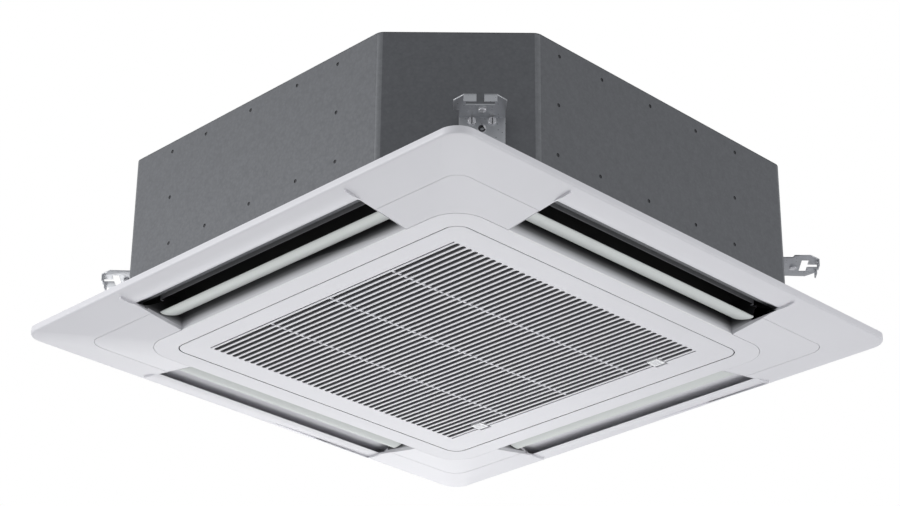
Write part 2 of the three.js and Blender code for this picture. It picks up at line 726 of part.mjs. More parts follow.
function panelFrame() {
  const backing = PANEL_WALL + BORDER_BACKING;
  const backingEdge = COVER_HALF + 7;
  const wallIn = PANEL_HALF - PANEL_WALL;
  const rimStart = slopeHeight(PANEL_HALF - RIM_ROUND);
  let frame = squareRing([
    [PANEL_HALF, PANEL_CORNER, 0],
    [CABINET_HALF + SEAT_PLAY, PANEL_CORNER, 0],
    [CABINET_HALF + SEAT_PLAY, PANEL_CORNER, -FIT_GAP],
    [SEAT_FLANGE_HALF, PANEL_CORNER, -FIT_GAP],
    [SEAT_FLANGE_HALF, PANEL_CORNER, -PANEL_WALL],
    [wallIn, PANEL_CORNER - PANEL_WALL, -PANEL_WALL],
    [wallIn, PANEL_CORNER - PANEL_WALL, -RIM_HEIGHT + PANEL_WALL],
    slopeLevel(PANEL_HALF - 2 * PANEL_WALL, PANEL_WALL),
    slopeLevel(backingEdge, PANEL_WALL),
    slopeLevel(backingEdge - 0.1, backing),
    slopeLevel(INNER_HALF - PANEL_WALL, backing),
    [INNER_HALF - PANEL_WALL - 1, INNER_CORNER - PANEL_WALL, -PANEL_DEPTH + PANEL_WALL],
    [GRILLE_OPENING, GRILLE_CORNER + GRILLE_EDGE_GAP, -PANEL_DEPTH + PANEL_WALL],
    [GRILLE_OPENING, GRILLE_CORNER + GRILLE_EDGE_GAP, -PANEL_DEPTH],
    [INNER_HALF, INNER_CORNER, -PANEL_DEPTH],
    [PANEL_HALF - RIM_ROUND, slopeCorner(PANEL_HALF - RIM_ROUND), rimStart],
    [PANEL_HALF - RIM_ROUND * 0.3, PANEL_CORNER - 0.5, rimStart + RIM_ROUND * 0.35],
    [PANEL_HALF, PANEL_CORNER, rimStart + RIM_ROUND],
  ]);
  for (const side of SIDES) {
    frame = frame.add(turnedBody(outletHousing(), side.turn));
  }
  for (const corner of CORNERS) {
    frame = frame.add(turnedBody(screwBoss(), corner.turn));
  }
  for (const sign of [-1, 1]) {
    frame = frame.add(hingeLug().translate([sign * HINGE_SPREAD, 0, 0]));
    frame = frame.add(strike().translate([sign * LATCH_SPREAD, 0, 0]));
  }
  for (const side of SIDES) {
    frame = frame.subtract(turnedBody(outletVoid(), side.turn));
    frame = frame.subtract(turnedBody(pivotHoles(), side.turn));
  }
  for (const corner of CORNERS) {
    frame = frame.subtract(turnedBody(coverRecess(), corner.turn));
    frame = frame.subtract(turnedBody(screwBore(), corner.turn));
  }
  return frame;
}

function panelScrew() {
  const headTop = BOSS_LEDGE - FIT_GAP;
  const head = upright(PANEL_SCREW_HEAD_R, SCREW_PLACE, SCREW_PLACE, headTop - PANEL_SCREW_HEAD, headTop, 20);
  const shank = upright(PANEL_SCREW_R, SCREW_PLACE, SCREW_PLACE, headTop - OVERCUT, PANEL_SCREW_TIP, 12);
  return join(head, shank);
}

// ---------------------------------------------------------------- vanes

// A slender blade, crowned on its lower face, with an arm and a pin at each end.
function vane() {
  const half = OUTLET_HALF - VANE_END_GAP;
  const steps = 8;
  const blade = [];
  for (let i = 0; i <= steps; i += 1) {
    const s = -1 + 2 * i / steps;
    const swell = Math.sqrt(Math.max(0, 1 - s ** 4));
    blade.push([s * VANE_CHORD / 2, VANE_CAMBER * s * s - VANE_THICK / 2 * swell]);
  }
  for (let i = steps - 1; i >= 1; i -= 1) {
    const s = -1 + 2 * i / steps;
    const swell = Math.sqrt(Math.max(0, 1 - s ** 4));
    blade.push([s * VANE_CHORD / 2, VANE_CAMBER * s * s + VANE_THICK / 2 * swell]);
  }
  const arm = [
    [-VANE_CHORD / 4, 0],
    [VANE_CHORD / 4, 0],
    [VANE_PIN_R * 1.6, VANE_ARM + VANE_PIN_R * 1.2],
    [-VANE_PIN_R * 1.6, VANE_ARM + VANE_PIN_R * 1.2],
  ];
  const socketEnd = OUTLET_HALF + PANEL_WALL + FIT_GAP + VANE_MOTOR_SOCKET - 1;
  const freeEnd = OUTLET_HALF + PANEL_WALL;
  const body = join(
    bar(blade, -half, half),
    bar(arm, -half, -half + VANE_ARM_WALL),
    bar(arm, half - VANE_ARM_WALL, half),
    alongY(VANE_PIN_R, 0, VANE_ARM, -freeEnd, -half + OVERCUT, 16),
    alongY(VANE_PIN_R, 0, VANE_ARM, half - OVERCUT, socketEnd, 16),
  );
  return body.rotate([0, VANE_TILT, 0]).translate([VANE_U, 0, VANE_HEIGHT]);
}

function vaneMotor() {
  const start = OUTLET_HALF + PANEL_WALL + FIT_GAP;
  const end = start + VANE_MOTOR_LENGTH;
  const canZ = PIVOT_Z + VANE_MOTOR_OFFSET;
  const earHalf = VANE_MOTOR_R + 6;
  const can = alongY(VANE_MOTOR_R, PIVOT_U, canZ, start, end, 24);
  const ears = box(PIVOT_U - earHalf, PIVOT_U + earHalf, start, start + 1.5, canZ - 3.5, canZ + 3.5);
  const nose = alongY(VANE_PIN_R * 2, PIVOT_U, PIVOT_Z, start, start + VANE_MOTOR_SOCKET + 2, 20);
  const socketR = VANE_PIN_R + PIN_CLEARANCE;
  const socket = alongY(socketR, PIVOT_U, PIVOT_Z, start - OVERCUT, start + VANE_MOTOR_SOCKET, 16);
  return cut(join(can, ears, nose), socket);
}

// ---------------------------------------------------------------- intake grille

// A slot along x, from z0 to z1.
function slot(y, width, z0, z1) {
  return box(-SLAT_HALF_LENGTH, SLAT_HALF_LENGTH, y - width / 2, y + width / 2, z0, z1);
}

function slots() {
  const [z0, z1] = [GRILLE_FACE - OVERCUT, FIELD_TOP + OVERCUT];
  let all = slot(FIELD_FRONT + END_SLOT_WIDTH / 2, END_SLOT_WIDTH, z0, z1);
  all = all.add(slot(FIELD_BACK - END_SLOT_WIDTH / 2, END_SLOT_WIDTH, z0, z1));
  for (let i = 0; i < SLAT_COUNT - 1; i += 1) {
    all = all.add(slot(FIRST_SLAT_Y + (i + 0.5) * SLAT_PITCH, SLAT_PITCH - SLAT_WIDTH, z0, z1));
  }
  return all;
}

function ribs() {
  const [y0, y1] = [FIELD_FRONT - OVERCUT, FIELD_BACK + OVERCUT];
  const [z0, z1] = [GRILLE_FACE + RIB_RECESS, FIELD_TOP];
  const count = Math.floor((SLAT_HALF_LENGTH - RIB_WIDTH) / RIB_PITCH);
  const all = [];
  for (let i = -count; i <= count; i += 1) {
    if (Math.abs(i) * RIB_PITCH < SLAT_HALF_LENGTH - 4 * RIB_WIDTH) {
      all.push(box(i * RIB_PITCH - RIB_WIDTH / 2, i * RIB_PITCH + RIB_WIDTH / 2, y0, y1, z0, z1));
    }
  }
  return join(...all);
}

// The two cheeks and the pin of one hinge of the grille, at x = 0.
function hingePin() {
  const inner = HINGE_EYE_WIDTH / 2 + FIT_GAP + 0.2;
  const outer = inner + HINGE_CHEEK;
  const [y0, y1] = [HINGE_Y - HINGE_CHEEK_HALF, HINGE_Y + HINGE_CHEEK_HALF];
  const [z0, z1] = [GRILLE_FACE + GRILLE_PLATE / 2, HINGE_Z + HINGE_PIN_R + 2];
  return join(
    box(-outer, -inner, y0, y1, z0, z1),
    box(inner, outer, y0, y1, z0, z1),
    alongX(HINGE_PIN_R, HINGE_Y, HINGE_Z, -outer + 0.5, outer - 0.5, 16),
  );
}

// What is cut from the grille's skirt so that the lug can turn in it, at x = 0.
function hingeNotch() {
  const half = HINGE_EYE_WIDTH / 2 + FIT_GAP + 0.2;
  const edge = -GRILLE_HALF;
  const [y0, y1] = [edge - OVERCUT, edge + GRILLE_SKIRT + OVERCUT];
  return box(-half, half, y0, y1, GRILLE_FACE + GRILLE_PLATE, FIELD_TOP + OVERCUT);
}

function latchPocket() {
  const half = LATCH_WIDTH / 2 + FIT_GAP + 0.2;
  const y0 = LATCH_Y - LATCH_LENGTH / 2 - FIT_GAP;
  const y1 = LATCH_Y + LATCH_LENGTH / 2 + LATCH_TRAVEL + FIT_GAP;
  return box(-half, half, y0, y1, GRILLE_FACE - OVERCUT, FIELD_TOP + OVERCUT);
}

function intakeGrille() {
  const round = GRILLE_EDGE_ROUND;
  const block = squareStack([
    [GRILLE_HALF - round, GRILLE_CORNER - round, GRILLE_FACE],
    [GRILLE_HALF - round * 0.29, GRILLE_CORNER - round * 0.29, GRILLE_FACE + round * 0.29],
    [GRILLE_HALF, GRILLE_CORNER, GRILLE_FACE + round],
    [GRILLE_HALF, GRILLE_CORNER, FIELD_TOP],
  ]);
  const hollow = squareStack([
    [GRILLE_HALF - GRILLE_SKIRT, GRILLE_CORNER - GRILLE_SKIRT, GRILLE_FACE + GRILLE_PLATE],
    [GRILLE_HALF - GRILLE_SKIRT, GRILLE_CORNER - GRILLE_SKIRT, FIELD_TOP + OVERCUT],
  ]);
  const wall = SLAT_HALF_LENGTH + FIELD_WALL;
  const [y0, y1] = [FIELD_FRONT - FIELD_WALL, FIELD_BACK + FIELD_WALL];
  const field = box(-wall, wall, y0, y1, GRILLE_FACE, FIELD_TOP + 2 * OVERCUT);
  let grille = cut(block, cut(hollow, field));
  grille = cut(grille, slots());
  grille = join(grille, ribs());
  for (const sign of [-1, 1]) {
    grille = cut(grille, hingeNotch().translate([sign * HINGE_SPREAD, 0, 0]));
    grille = join(grille, hingePin().translate([sign * HINGE_SPREAD, 0, 0]));
    grille = cut(grille, latchPocket().translate([sign * LATCH_SPREAD, 0, 0]));
  }
  return grille;
}

// A latch: the knob seen from below, a plate that rides on the slats and a tongue.
function grilleLatch() {
  const half = LATCH_WIDTH / 2;
  const plateZ = FIELD_TOP + FIT_GAP;
  const [y0, y1] = [LATCH_Y - LATCH_LENGTH / 2, LATCH_Y + LATCH_LENGTH / 2];
  const knob = box(-half, half, y0, y1, GRILLE_FACE - LATCH_PROUD, plateZ + LATCH_PLATE / 2);
  const wide = half + LATCH_PLATE_LAP;
  const plate = box(-wide, wide, y0 - LATCH_PLATE_LAP, y1, plateZ, plateZ + LATCH_PLATE);
  const tongueHalf = LATCH_TONGUE_WIDTH / 2;
  const tongue = box(-tongueHalf, tongueHalf, y1 - OVERCUT, GRILLE_HALF - 0.5, plateZ, plateZ + LATCH_PLATE);
  let latch = join(knob, plate, tongue);
  for (const y of [-1, 0, 1]) {
    const groove = LATCH_Y + y * LATCH_LENGTH / 4;
    const z0 = GRILLE_FACE - 2 * OVERCUT;
    latch = cut(latch, box(-half * 0.7, half * 0.7, groove - 1, groove + 1, z0, GRILLE_FACE + 1));
  }
  return latch;
}

function airFilter() {
  const z0 = FIELD_TOP + FIT_GAP;
  const z1 = z0 + FILTER_HEIGHT;
  const half = SLAT_HALF_LENGTH + FILTER_INSET;
  const [y0, y1] = [FIELD_FRONT - FILTER_INSET, FIELD_BACK + FILTER_INSET];
  const inner = half - FILTER_FRAME;
  const frame = cut(
    box(-half, half, y0, y1, z0, z1),
    box(-inner, inner, y0 + FILTER_FRAME, y1 - FILTER_FRAME, z0 - OVERCUT, z1 + OVERCUT),
  );
  const netZ = z1 - 2 * FILTER_NET;
  const net = box(-inner - OVERCUT, inner + OVERCUT, y0 + OVERCUT, y1 - OVERCUT, netZ, netZ + FILTER_NET);
  const parts = [frame, net];
  for (const share of [-0.5, 0, 0.5]) {
    const x = share * half;
    parts.push(box(x - FILTER_BAR / 2, x + FILTER_BAR / 2, y0 + OVERCUT, y1 - OVERCUT, netZ, z1));
    const y = (y0 + y1) / 2 + share * (y1 - y0) / 2;
    parts.push(box(-half + OVERCUT, half - OVERCUT, y - FILTER_BAR / 2, y + FILTER_BAR / 2, netZ, z1));
  }
  let filter = join(...parts);
  const clear = LATCH_WIDTH / 2 + LATCH_PLATE_LAP + 1;
  const low = LATCH_Y - LATCH_LENGTH / 2 - LATCH_PLATE_LAP - 1;
  for (const sign of [-1, 1]) {
    const x = sign * LATCH_SPREAD;
    const notch = box(x - clear, x + clear, low, y1 + OVERCUT, z0 - OVERCUT, z0 + LATCH_PLATE + FIT_GAP);
    filter = cut(filter, notch);
  }
  return filter;
}

// ---------------------------------------------------------------- cabinet

function pipeOpening(inset) {
  const y0 = LIQUID_Y - PIPE_PLATE_MARGIN - LIQUID_R + inset;
  const y1 = GAS_Y + PIPE_PLATE_MARGIN + GAS_R - inset;
  const z0 = LIQUID_Z - PIPE_PLATE_MARGIN - LIQUID_R + inset;
  const z1 = GAS_Z + PIPE_PLATE_MARGIN + GAS_R - inset;
  return { y0, y1, z0, z1 };
}

function pipeCut(inset) {
  const { y0, y1, z0, z1 } = pipeOpening(inset);
  return box(-CABINET_HALF - OVERCUT, -LINING_INNER + OVERCUT, y0, y1, z0, z1);
}

function drainCut() {
  const radius = DRAIN_SOCKET_R + FIT_GAP + 0.2;
  return alongY(radius, DRAIN_X, DRAIN_Z, LINING_INNER - OVERCUT, CABINET_HALF + OVERCUT);
}

function glandCut() {
  return alongY(GLAND_R + FIT_GAP, GLAND_X, GLAND_Z, LINING_INNER - OVERCUT, CABINET_HALF + OVERCUT);
}

function cabinetWall() {
  const outside = prism(cabinetOutline(0), CABINET_BASE, CEILING_UNDER - FIT_GAP);
  const inside = prism(cabinetOutline(SHEET), CABINET_BASE + SHEET, CABINET_TOP);
  const rim = octagon(CABINET_HALF - CABINET_FLANGE, mouthLeg());
  const mouth = prism(rim, CABINET_BASE - OVERCUT, CABINET_TOP);
  const holeR = PANEL_SCREW_R + PIN_CLEARANCE;
  let wall = cut(outside, inside, mouth, pipeCut(5), drainCut(), glandCut());
  for (const corner of CORNERS) {
    const hole = upright(holeR, SCREW_PLACE, SCREW_PLACE, -OVERCUT, PANEL_SCREW_TIP, 16);
    wall = cut(wall, turnedBody(hole, corner.turn));
  }
  return wall;
}

// Leg of the cut corners of the mouth inside the cabinet's bottom flange.
function mouthLeg() {
  const half = CABINET_HALF - CABINET_FLANGE;
  return 2 * half - (CUT_WALL - CORNER_FLANGE) * Math.SQRT2;
}

function topPlate() {
  const plate = prism(cabinetOutline(0), CEILING_UNDER, CABINET_TOP);
  const rib = prism(roundedSquare(CABINET_HALF * 0.62, 60), CABINET_TOP - SHEET / 2, CABINET_TOP + 3);
  const hollow = prism(roundedSquare(CABINET_HALF * 0.62 - 14, 46), CABINET_TOP, CABINET_TOP + 3 + OVERCUT);
  return join(plate, cut(rib, hollow));
}

function wallLining() {
  const outside = prism(cabinetOutline(SHEET + FIT_GAP), LINING_START, CEILING_UNDER - FIT_GAP);
  const inside = prism(cabinetOutline(SHEET + FIT_GAP + LINING), 0, CABINET_TOP);
  return cut(outside, inside, pipeCut(5), drainCut(), glandCut());
}

function topInsulation() {
  const top = CEILING_UNDER - FIT_GAP;
  const pad = prism(cabinetOutline(SHEET + 2 * FIT_GAP + LINING), top - TOP_FOAM, top);
  const window = MOTOR_EAR_REACH + MOTOR_EAR_R + 4;
  return cut(pad, upright(window, 0, 0, top - TOP_FOAM - OVERCUT, top + OVERCUT, 40));
}

// ---------------------------------------------------------------- hanger brackets

// One bracket at a cut corner whose outside is the plane x = 0, with x pointing away from it.
function hangerBracket() {
  const half = BRACKET_WIDTH / 2;
  const wide = half + BRACKET_STEP;
  const shoulder = BRACKET_REACH - BRACKET_CORNER_CUT;
  const [x0, x1] = [FIT_GAP, FIT_GAP + BRACKET_SHEET];
  const [z0, z1] = [BRACKET_EAR_Z, BRACKET_EAR_Z + BRACKET_SHEET];
  const lipInner = [SLOT_SHIFT - SLOT_MOUTH / 2, SLOT_SHIFT + SLOT_MOUTH / 2];
  const ear = prism([
    [x0, -half],
    [BRACKET_STEP_AT, -half],
    [BRACKET_STEP_AT + 2, -wide],
    [shoulder, -wide],
    [BRACKET_REACH, lipInner[0] - LIP_WIDTH],
    [BRACKET_REACH, lipInner[1] + LIP_WIDTH],
    [shoulder, half + 1.5],
    [BRACKET_STEP_AT, half],
    [x0, half],
  ], z0, z1);
  const windowX = BRACKET_REACH - SLOT_MOUTH_DEPTH;
  const windowHalf = SLOT_WINDOW / 2;
  const [windowY0, windowY1] = [SLOT_SHIFT - windowHalf, SLOT_SHIFT + windowHalf];
  const window = box(windowX - SLOT_WINDOW_DEPTH, windowX, windowY0, windowY1, z0 - OVERCUT, z1 + OVERCUT);
  const mouth = box(windowX - OVERCUT, BRACKET_REACH + OVERCUT, ...lipInner, z0 - OVERCUT, z1 + OVERCUT);
  const lipX = BRACKET_REACH - BRACKET_SHEET;
  const headX = x1 + SCREW_HEAD;
  const screwZ = z0 - SCREW_HEAD_R - 1;
  const collarZ = screwZ - 2.2 * SCREW_HEAD_R;
  const parts = [
    cut(ear, window, mouth),
    box(x0, x1, -half, half, z0 - BRACKET_DROP, z1),
    box(lipX, BRACKET_REACH, lipInner[0] - LIP_WIDTH, lipInner[0], z0 - LIP_DROP, z1),
    box(lipX, BRACKET_REACH, lipInner[1], lipInner[1] + LIP_WIDTH, z0 - LIP_DROP, z1),
    alongX(SCREW_HEAD_R, -SCREW_SPREAD, screwZ, x0, headX, 12),
    alongX(SCREW_HEAD_R, SCREW_SPREAD, screwZ, x0, headX, 12),
    alongX(SCREW_HEAD_R, 0, collarZ, x0, headX - 1, 12),
    upright(SCREW_HEAD_R, BRACKET_REACH * 0.4, 0, z0 - SCREW_HEAD, z1, 12),
  ];
  const slotHalf = 0.8;
  const slotDeep = SCREW_HEAD / 2;
  const slotReach = 2 * SCREW_HEAD_R;
  const slotsCut = [-SCREW_SPREAD, SCREW_SPREAD].map((y) => (
    box(headX - slotDeep, headX + OVERCUT, y - slotHalf, y + slotHalf, screwZ - slotReach, screwZ + slotReach)
  ));
  const bore = alongX(SCREW_HEAD_R * 0.55, 0, collarZ, -OVERCUT, headX + OVERCUT, 10);
  return cut(join(...parts), bore, ...slotsCut);
}

// ---------------------------------------------------------------- drain pan and bell mouth

function drainPan() {
  const body = prism(cabinetOutline(SHEET + 2 * FIT_GAP + LINING), PAN_BASE, PAN_TOP);
  const trough = squareRing([
    [COIL_HALF + TROUGH_PLAY, COIL_CORNER + TROUGH_PLAY, TROUGH_FLOOR],
    [COIL_HALF + TROUGH_PLAY, COIL_CORNER + TROUGH_PLAY, PAN_TOP + OVERCUT],
    [COIL_INNER - TROUGH_PLAY, COIL_CORNER - COIL_THICK - TROUGH_PLAY, PAN_TOP + OVERCUT],
    [COIL_INNER - TROUGH_PLAY, COIL_CORNER - COIL_THICK - TROUGH_PLAY, TROUGH_FLOOR],
  ]);
  const eye = upright(BELL_INLET_R + BELL_WALL + 4, 0, 0, PAN_BASE - OVERCUT, PAN_TOP + OVERCUT, 48);
  let pan = cut(body, trough, eye);
  for (const side of SIDES) {
    const duct = box(
      INNER_HALF - DUCT_WALL_STEP, THROAT_OUTER + DUCT_WALL_STEP,
      -OUTLET_HALF, OUTLET_HALF, PAN_BASE - OVERCUT, PAN_TOP + OVERCUT,
    );
    pan = cut(pan, turnedBody(duct, side.turn));
  }
  return pan;
}

function bellMouth() {
  const steps = 4;
  const inside = [];
  const outside = [];
  const centreZ = BELL_BASE + BELL_FLARE;
  for (let i = 0; i <= steps; i += 1) {
    const angle = i / steps * Math.PI / 2;
    const [s, c] = [Math.sin(angle), Math.cos(angle)];
    inside.push([BELL_INLET_R - BELL_FLARE * s, centreZ - BELL_FLARE * c]);
    outside.push([BELL_INLET_R - (BELL_FLARE - BELL_WALL) * s, centreZ - (BELL_FLARE - BELL_WALL) * c]);
  }
  const flangeR = BELL_INLET_R + BELL_FLANGE;
  return turned([
    [flangeR, BELL_BASE + BELL_WALL],
    [flangeR, BELL_BASE],
    ...inside,
    [BELL_THROAT_R, BELL_TOP],
    [BELL_THROAT_R + BELL_WALL, BELL_TOP],
    ...outside.reverse(),
  ]);
}

// ---------------------------------------------------------------- fan and motor

function shroudProfile(lift) {
  const steps = 4;
  const points = [];
  for (let i = 0; i <= steps; i += 1) {
    const angle = i / steps * Math.PI / 2;
    const r = EYE_R + (FAN_R - EYE_R) * (1 - Math.cos(angle));
    points.push([r, FAN_BASE + FAN_SHROUD_RISE * Math.sin(angle) + lift]);
  }
  return points;
}

// A blade in plan, curved backward from the eye to the rim.
function bladeOutline() {
  const steps = 4;
  const front = [];
  const rear = [];
  for (let i = 0; i <= steps; i += 1) {
    const share = i / steps;
    const radius = BLADE_INNER_R + (FAN_R - BLADE_INNER_R) * share;
    const angle = -0.62 * share ** 0.8;
    const half = BLADE_THICK / 2 * Math.sqrt(Math.max(0.02, share * (1 - share) * 4));
    const [x, y] = [radius * Math.cos(angle), radius * Math.sin(angle)];
    const normal = angle + Math.PI / 2 - 0.5;
    front.push([x + half * Math.cos(normal), y + half * Math.sin(normal)]);
    rear.push([x - half * Math.cos(normal), y - half * Math.sin(normal)]);
  }
  return [...rear, ...front.reverse()];
}

function turboFan() {
  const shroud = turned([...shroudProfile(0), ...shroudProfile(FAN_WALL).reverse()]);
  const cup = turned([
    [SHAFT_R + SHAFT_PLAY, HUB_FLOOR - HUB_BOSS_HEIGHT],
    [HUB_BOSS_R, HUB_FLOOR - HUB_BOSS_HEIGHT],
    [HUB_BOSS_R, HUB_FLOOR],
    [HUB_CUP_R - 12, HUB_FLOOR],
    [HUB_CUP_R, HUB_FLOOR + 12],
    [HUB_CUP_R + 4, FAN_TOP - FAN_WALL],
    [FAN_R, FAN_TOP - FAN_WALL],
    [FAN_R, FAN_TOP],
    [HUB_CUP_R + 4 - FAN_WALL, FAN_TOP],
    [HUB_CUP_R - FAN_WALL, HUB_FLOOR + 12 + FAN_WALL],
    [HUB_CUP_R - 12 - FAN_WALL / 2, HUB_FLOOR + FAN_WALL],
    [SHAFT_R + SHAFT_PLAY, HUB_FLOOR + FAN_WALL],
  ]);
  const room = turned([
    [BLADE_INNER_R - 12, FAN_TOP - FAN_WALL / 2],
    [BLADE_INNER_R - 12, FAN_BASE + FAN_SHROUD_RISE],
    [EYE_R + 1, BELL_TOP + 3],
    ...shroudProfile(FAN_WALL / 2).slice(1),
    [FAN_R, FAN_TOP - FAN_WALL / 2],
  ]);
  let fan = join(shroud, cup);
  for (let i = 0; i < BLADE_COUNT; i += 1) {
    const blade = prism(bladeOutline(), FAN_BASE - OVERCUT, FAN_TOP).intersect(room);
    fan = fan.add(turnedBody(blade, i / BLADE_COUNT * 2 * Math.PI));
  }
  return fan;
}

function motorShaft() {
  const foot = HUB_FLOOR - HUB_BOSS_HEIGHT - SHAFT_BELOW_HUB;
  return upright(SHAFT_R, 0, 0, foot, MOTOR_BASE + SHAFT_IN_MOTOR, 20);
}

function fanNut() {
  const top = HUB_FLOOR - HUB_BOSS_HEIGHT - FIT_GAP;
  const washer = upright(WASHER_R, 0, 0, top - WASHER, top, 24);
  const nut = upright(NUT_R, 0, 0, top - WASHER - NUT_HEIGHT, top - WASHER / 2, 6);
  return cut(join(washer, nut), upright(SHAFT_R + SHAFT_PLAY, 0, 0, top - 2 * NUT_HEIGHT, top + OVERCUT, 20));
}

function fanMotor() {
  const earZ = MOTOR_TOP - MOTOR_EAR_THICK;
  const can = turned([
    [SHAFT_R + 4, MOTOR_BASE],
    [MOTOR_R - 10, MOTOR_BASE],
    [MOTOR_R, MOTOR_BASE + 10],
    [MOTOR_R, MOTOR_TOP - 6],
    [MOTOR_R - 6, MOTOR_TOP],
    [0, MOTOR_TOP],
    [0, MOTOR_BASE + SHAFT_IN_MOTOR + 2],
    [SHAFT_R + SHAFT_PLAY, MOTOR_BASE + SHAFT_IN_MOTOR + 2],
    [SHAFT_R + SHAFT_PLAY, MOTOR_BASE],
  ], 36);
  let motor = can;
  for (const turn of damperTurns()) {
    const arm = box(MOTOR_R - 12, MOTOR_EAR_REACH, -MOTOR_EAR_R, MOTOR_EAR_R, earZ, MOTOR_TOP);
    const tip = upright(MOTOR_EAR_R, MOTOR_EAR_REACH, 0, earZ, MOTOR_TOP, 20);
    motor = motor.add(turnedBody(join(arm, tip), turn));
  }
  return motor;
}

function damperTurns() {
  return [0, 1, 2].map((i) => Math.PI / 2 + i * 2 * Math.PI / 3);
}

function motorDamper() {
  const [z0, z1] = [MOTOR_TOP + FIT_GAP, CEILING_UNDER - FIT_GAP];
  return upright(DAMPER_R, MOTOR_EAR_REACH, 0, z0, z1, 20);
}

// ---------------------------------------------------------------- heat exchanger

function heatExchanger() {
  const ring = squareRing([
    [COIL_HALF, COIL_CORNER, COIL_BASE],
    [COIL_HALF, COIL_CORNER, COIL_TOP],
    [COIL_INNER, COIL_CORNER - COIL_THICK, COIL_TOP],
    [COIL_INNER, COIL_CORNER - COIL_THICK, COIL_BASE],
  ]);
  const open = box(-COIL_HALF - OVERCUT, -COIL_END, COIL_END, COIL_HALF + OVERCUT, 0, CABINET_TOP);
  return cut(ring, open);
}

// The sheet and return bends at one end of the fins: the fins end at x = 0 and lie at +X.
function coilEndPlate() {
  const sheet = box(-FIT_GAP - END_PLATE, -FIT_GAP, COIL_INNER - 2, COIL_HALF + 2, COIL_BASE, COIL_TOP);
  const parts = [sheet];
  const pitch = (COIL_TOP - COIL_BASE) / BEND_COUNT;
  for (let i = 0; i < BEND_COUNT; i += 1) {
    const z = COIL_BASE + (i + 0.5) * pitch;
    const y = COIL_INNER + COIL_THICK * BEND_ROWS[i % 2];
    const path = [];
    for (let k = 0; k <= 6; k += 1) {
      const angle = k / 6 * Math.PI;
      path.push([-FIT_GAP - BEND_R * Math.sin(angle), y, z - BEND_R * Math.cos(angle)]);
    }
    parts.push(tube(path, BEND_TUBE_R, 4, 6));
  }
  const fins = box(-FIT_GAP, COIL_THICK, COIL_INNER, COIL_HALF, COIL_BASE, COIL_TOP);
  return cut(join(...parts), fins);
}

function coilBaffle() {
  const inner = COIL_INNER - 2;
  const end = COIL_END - 2;
  const wall = END_PLATE * Math.SQRT2;
  const outline = [[-end, inner], [-end, inner - wall], [-(inner - wall), end], [-inner, end]];
  return prism(outline, PAN_TOP + FIT_GAP, COIL_TOP);
}

// ---------------------------------------------------------------- pipes

// An upright header beside the end of the fins, with stubs that reach its end plate.
function header(x, y, top, stubTo) {
  const parts = [upright(HEADER_R, x, y, HEADER_FOOT, top, 14)];
  const count = 4;
  for (let i = 0; i < count; i += 1) {
    const z = HEADER_FOOT + 10 + i * (COIL_TOP - HEADER_FOOT - 50) / count;
    if (z < top - 6) parts.push(stubTo(z));
  }
  return join(...parts);
}

function gasPipe() {
  const x = -(COIL_END + HEADER_STANDOFF);
  const y = HEADER_MID + HEADER_OFFSET;
  const stop = -(COIL_END + FIT_GAP + END_PLATE + FIT_GAP);
  const stub = (z) => alongX(LIQUID_R * 0.7, y, z, x, stop, 8);
  const run = tube([
    [x, y, GAS_Z - 40], [x, y, GAS_Z - 20], [x - 6, y - 1, GAS_Z - 6], [x - 20, y - 6, GAS_Z],
    [PUMP_X - PUMP_R, GAS_Y + 14, GAS_Z], [-(LINING_INNER - 40), GAS_Y, GAS_Z], [-LINING_INNER, GAS_Y, GAS_Z],
    [-PIPE_END, GAS_Y, GAS_Z],
  ], GAS_R, 18, 8);
  return join(header(x, y, GAS_Z - 30, stub), run);
}

function liquidPipe() {
  const x = -(HEADER_MID + HEADER_OFFSET);
  const y = COIL_END + HEADER_STANDOFF;
  const stop = COIL_END + FIT_GAP + END_PLATE + FIT_GAP;
  const stub = (z) => alongY(LIQUID_R * 0.7, x, z, stop, y, 8);
  const run = tube([
    [x, y, LIQUID_Z - 40], [x, y, LIQUID_Z - 20], [x - 5, y - 1, LIQUID_Z - 6], [x - 18, y - 4, LIQUID_Z],
    [-(LINING_INNER - 50), LIQUID_Y, LIQUID_Z], [-LINING_INNER, LIQUID_Y, LIQUID_Z],
    [-PIPE_END, LIQUID_Y, LIQUID_Z],
  ], LIQUID_R, 16, 8);
  return join(header(x, y, LIQUID_Z - 30, stub), run);
}

// A hexagonal flare nut over the end of a pipe that runs along x, closed by a blanking disc.
function flareNut(radius, y, z) {
  const bore = radius + FIT_GAP + 0.2;
  const end = -PIPE_END - FLARE_CAP;
  const body = alongX(bore + FLARE_WALL, y, z, end, end + NUT_LENGTH, 6);
  return cut(body, alongX(bore, y, z, -PIPE_END - FIT_GAP, end + NUT_LENGTH + OVERCUT, 16));
}

function pipeCoverPlate() {
  const { y0, y1, z0, z1 } = pipeOpening(-4);
  const x1 = -CABINET_HALF - FIT_GAP;
  const plate = box(x1 - SHEET, x1, y0, y1, z0, z1);
  const gas = alongX(GAS_R + FIT_GAP + 0.2, GAS_Y, GAS_Z, x1 - SHEET - OVERCUT, x1 + OVERCUT, 16);
  const liquid = alongX(LIQUID_R + FIT_GAP + 0.2, LIQUID_Y, LIQUID_Z, x1 - SHEET - OVERCUT, x1 + OVERCUT, 16);
  return cut(plate, gas, liquid);
}

// ---------------------------------------------------------------- drain

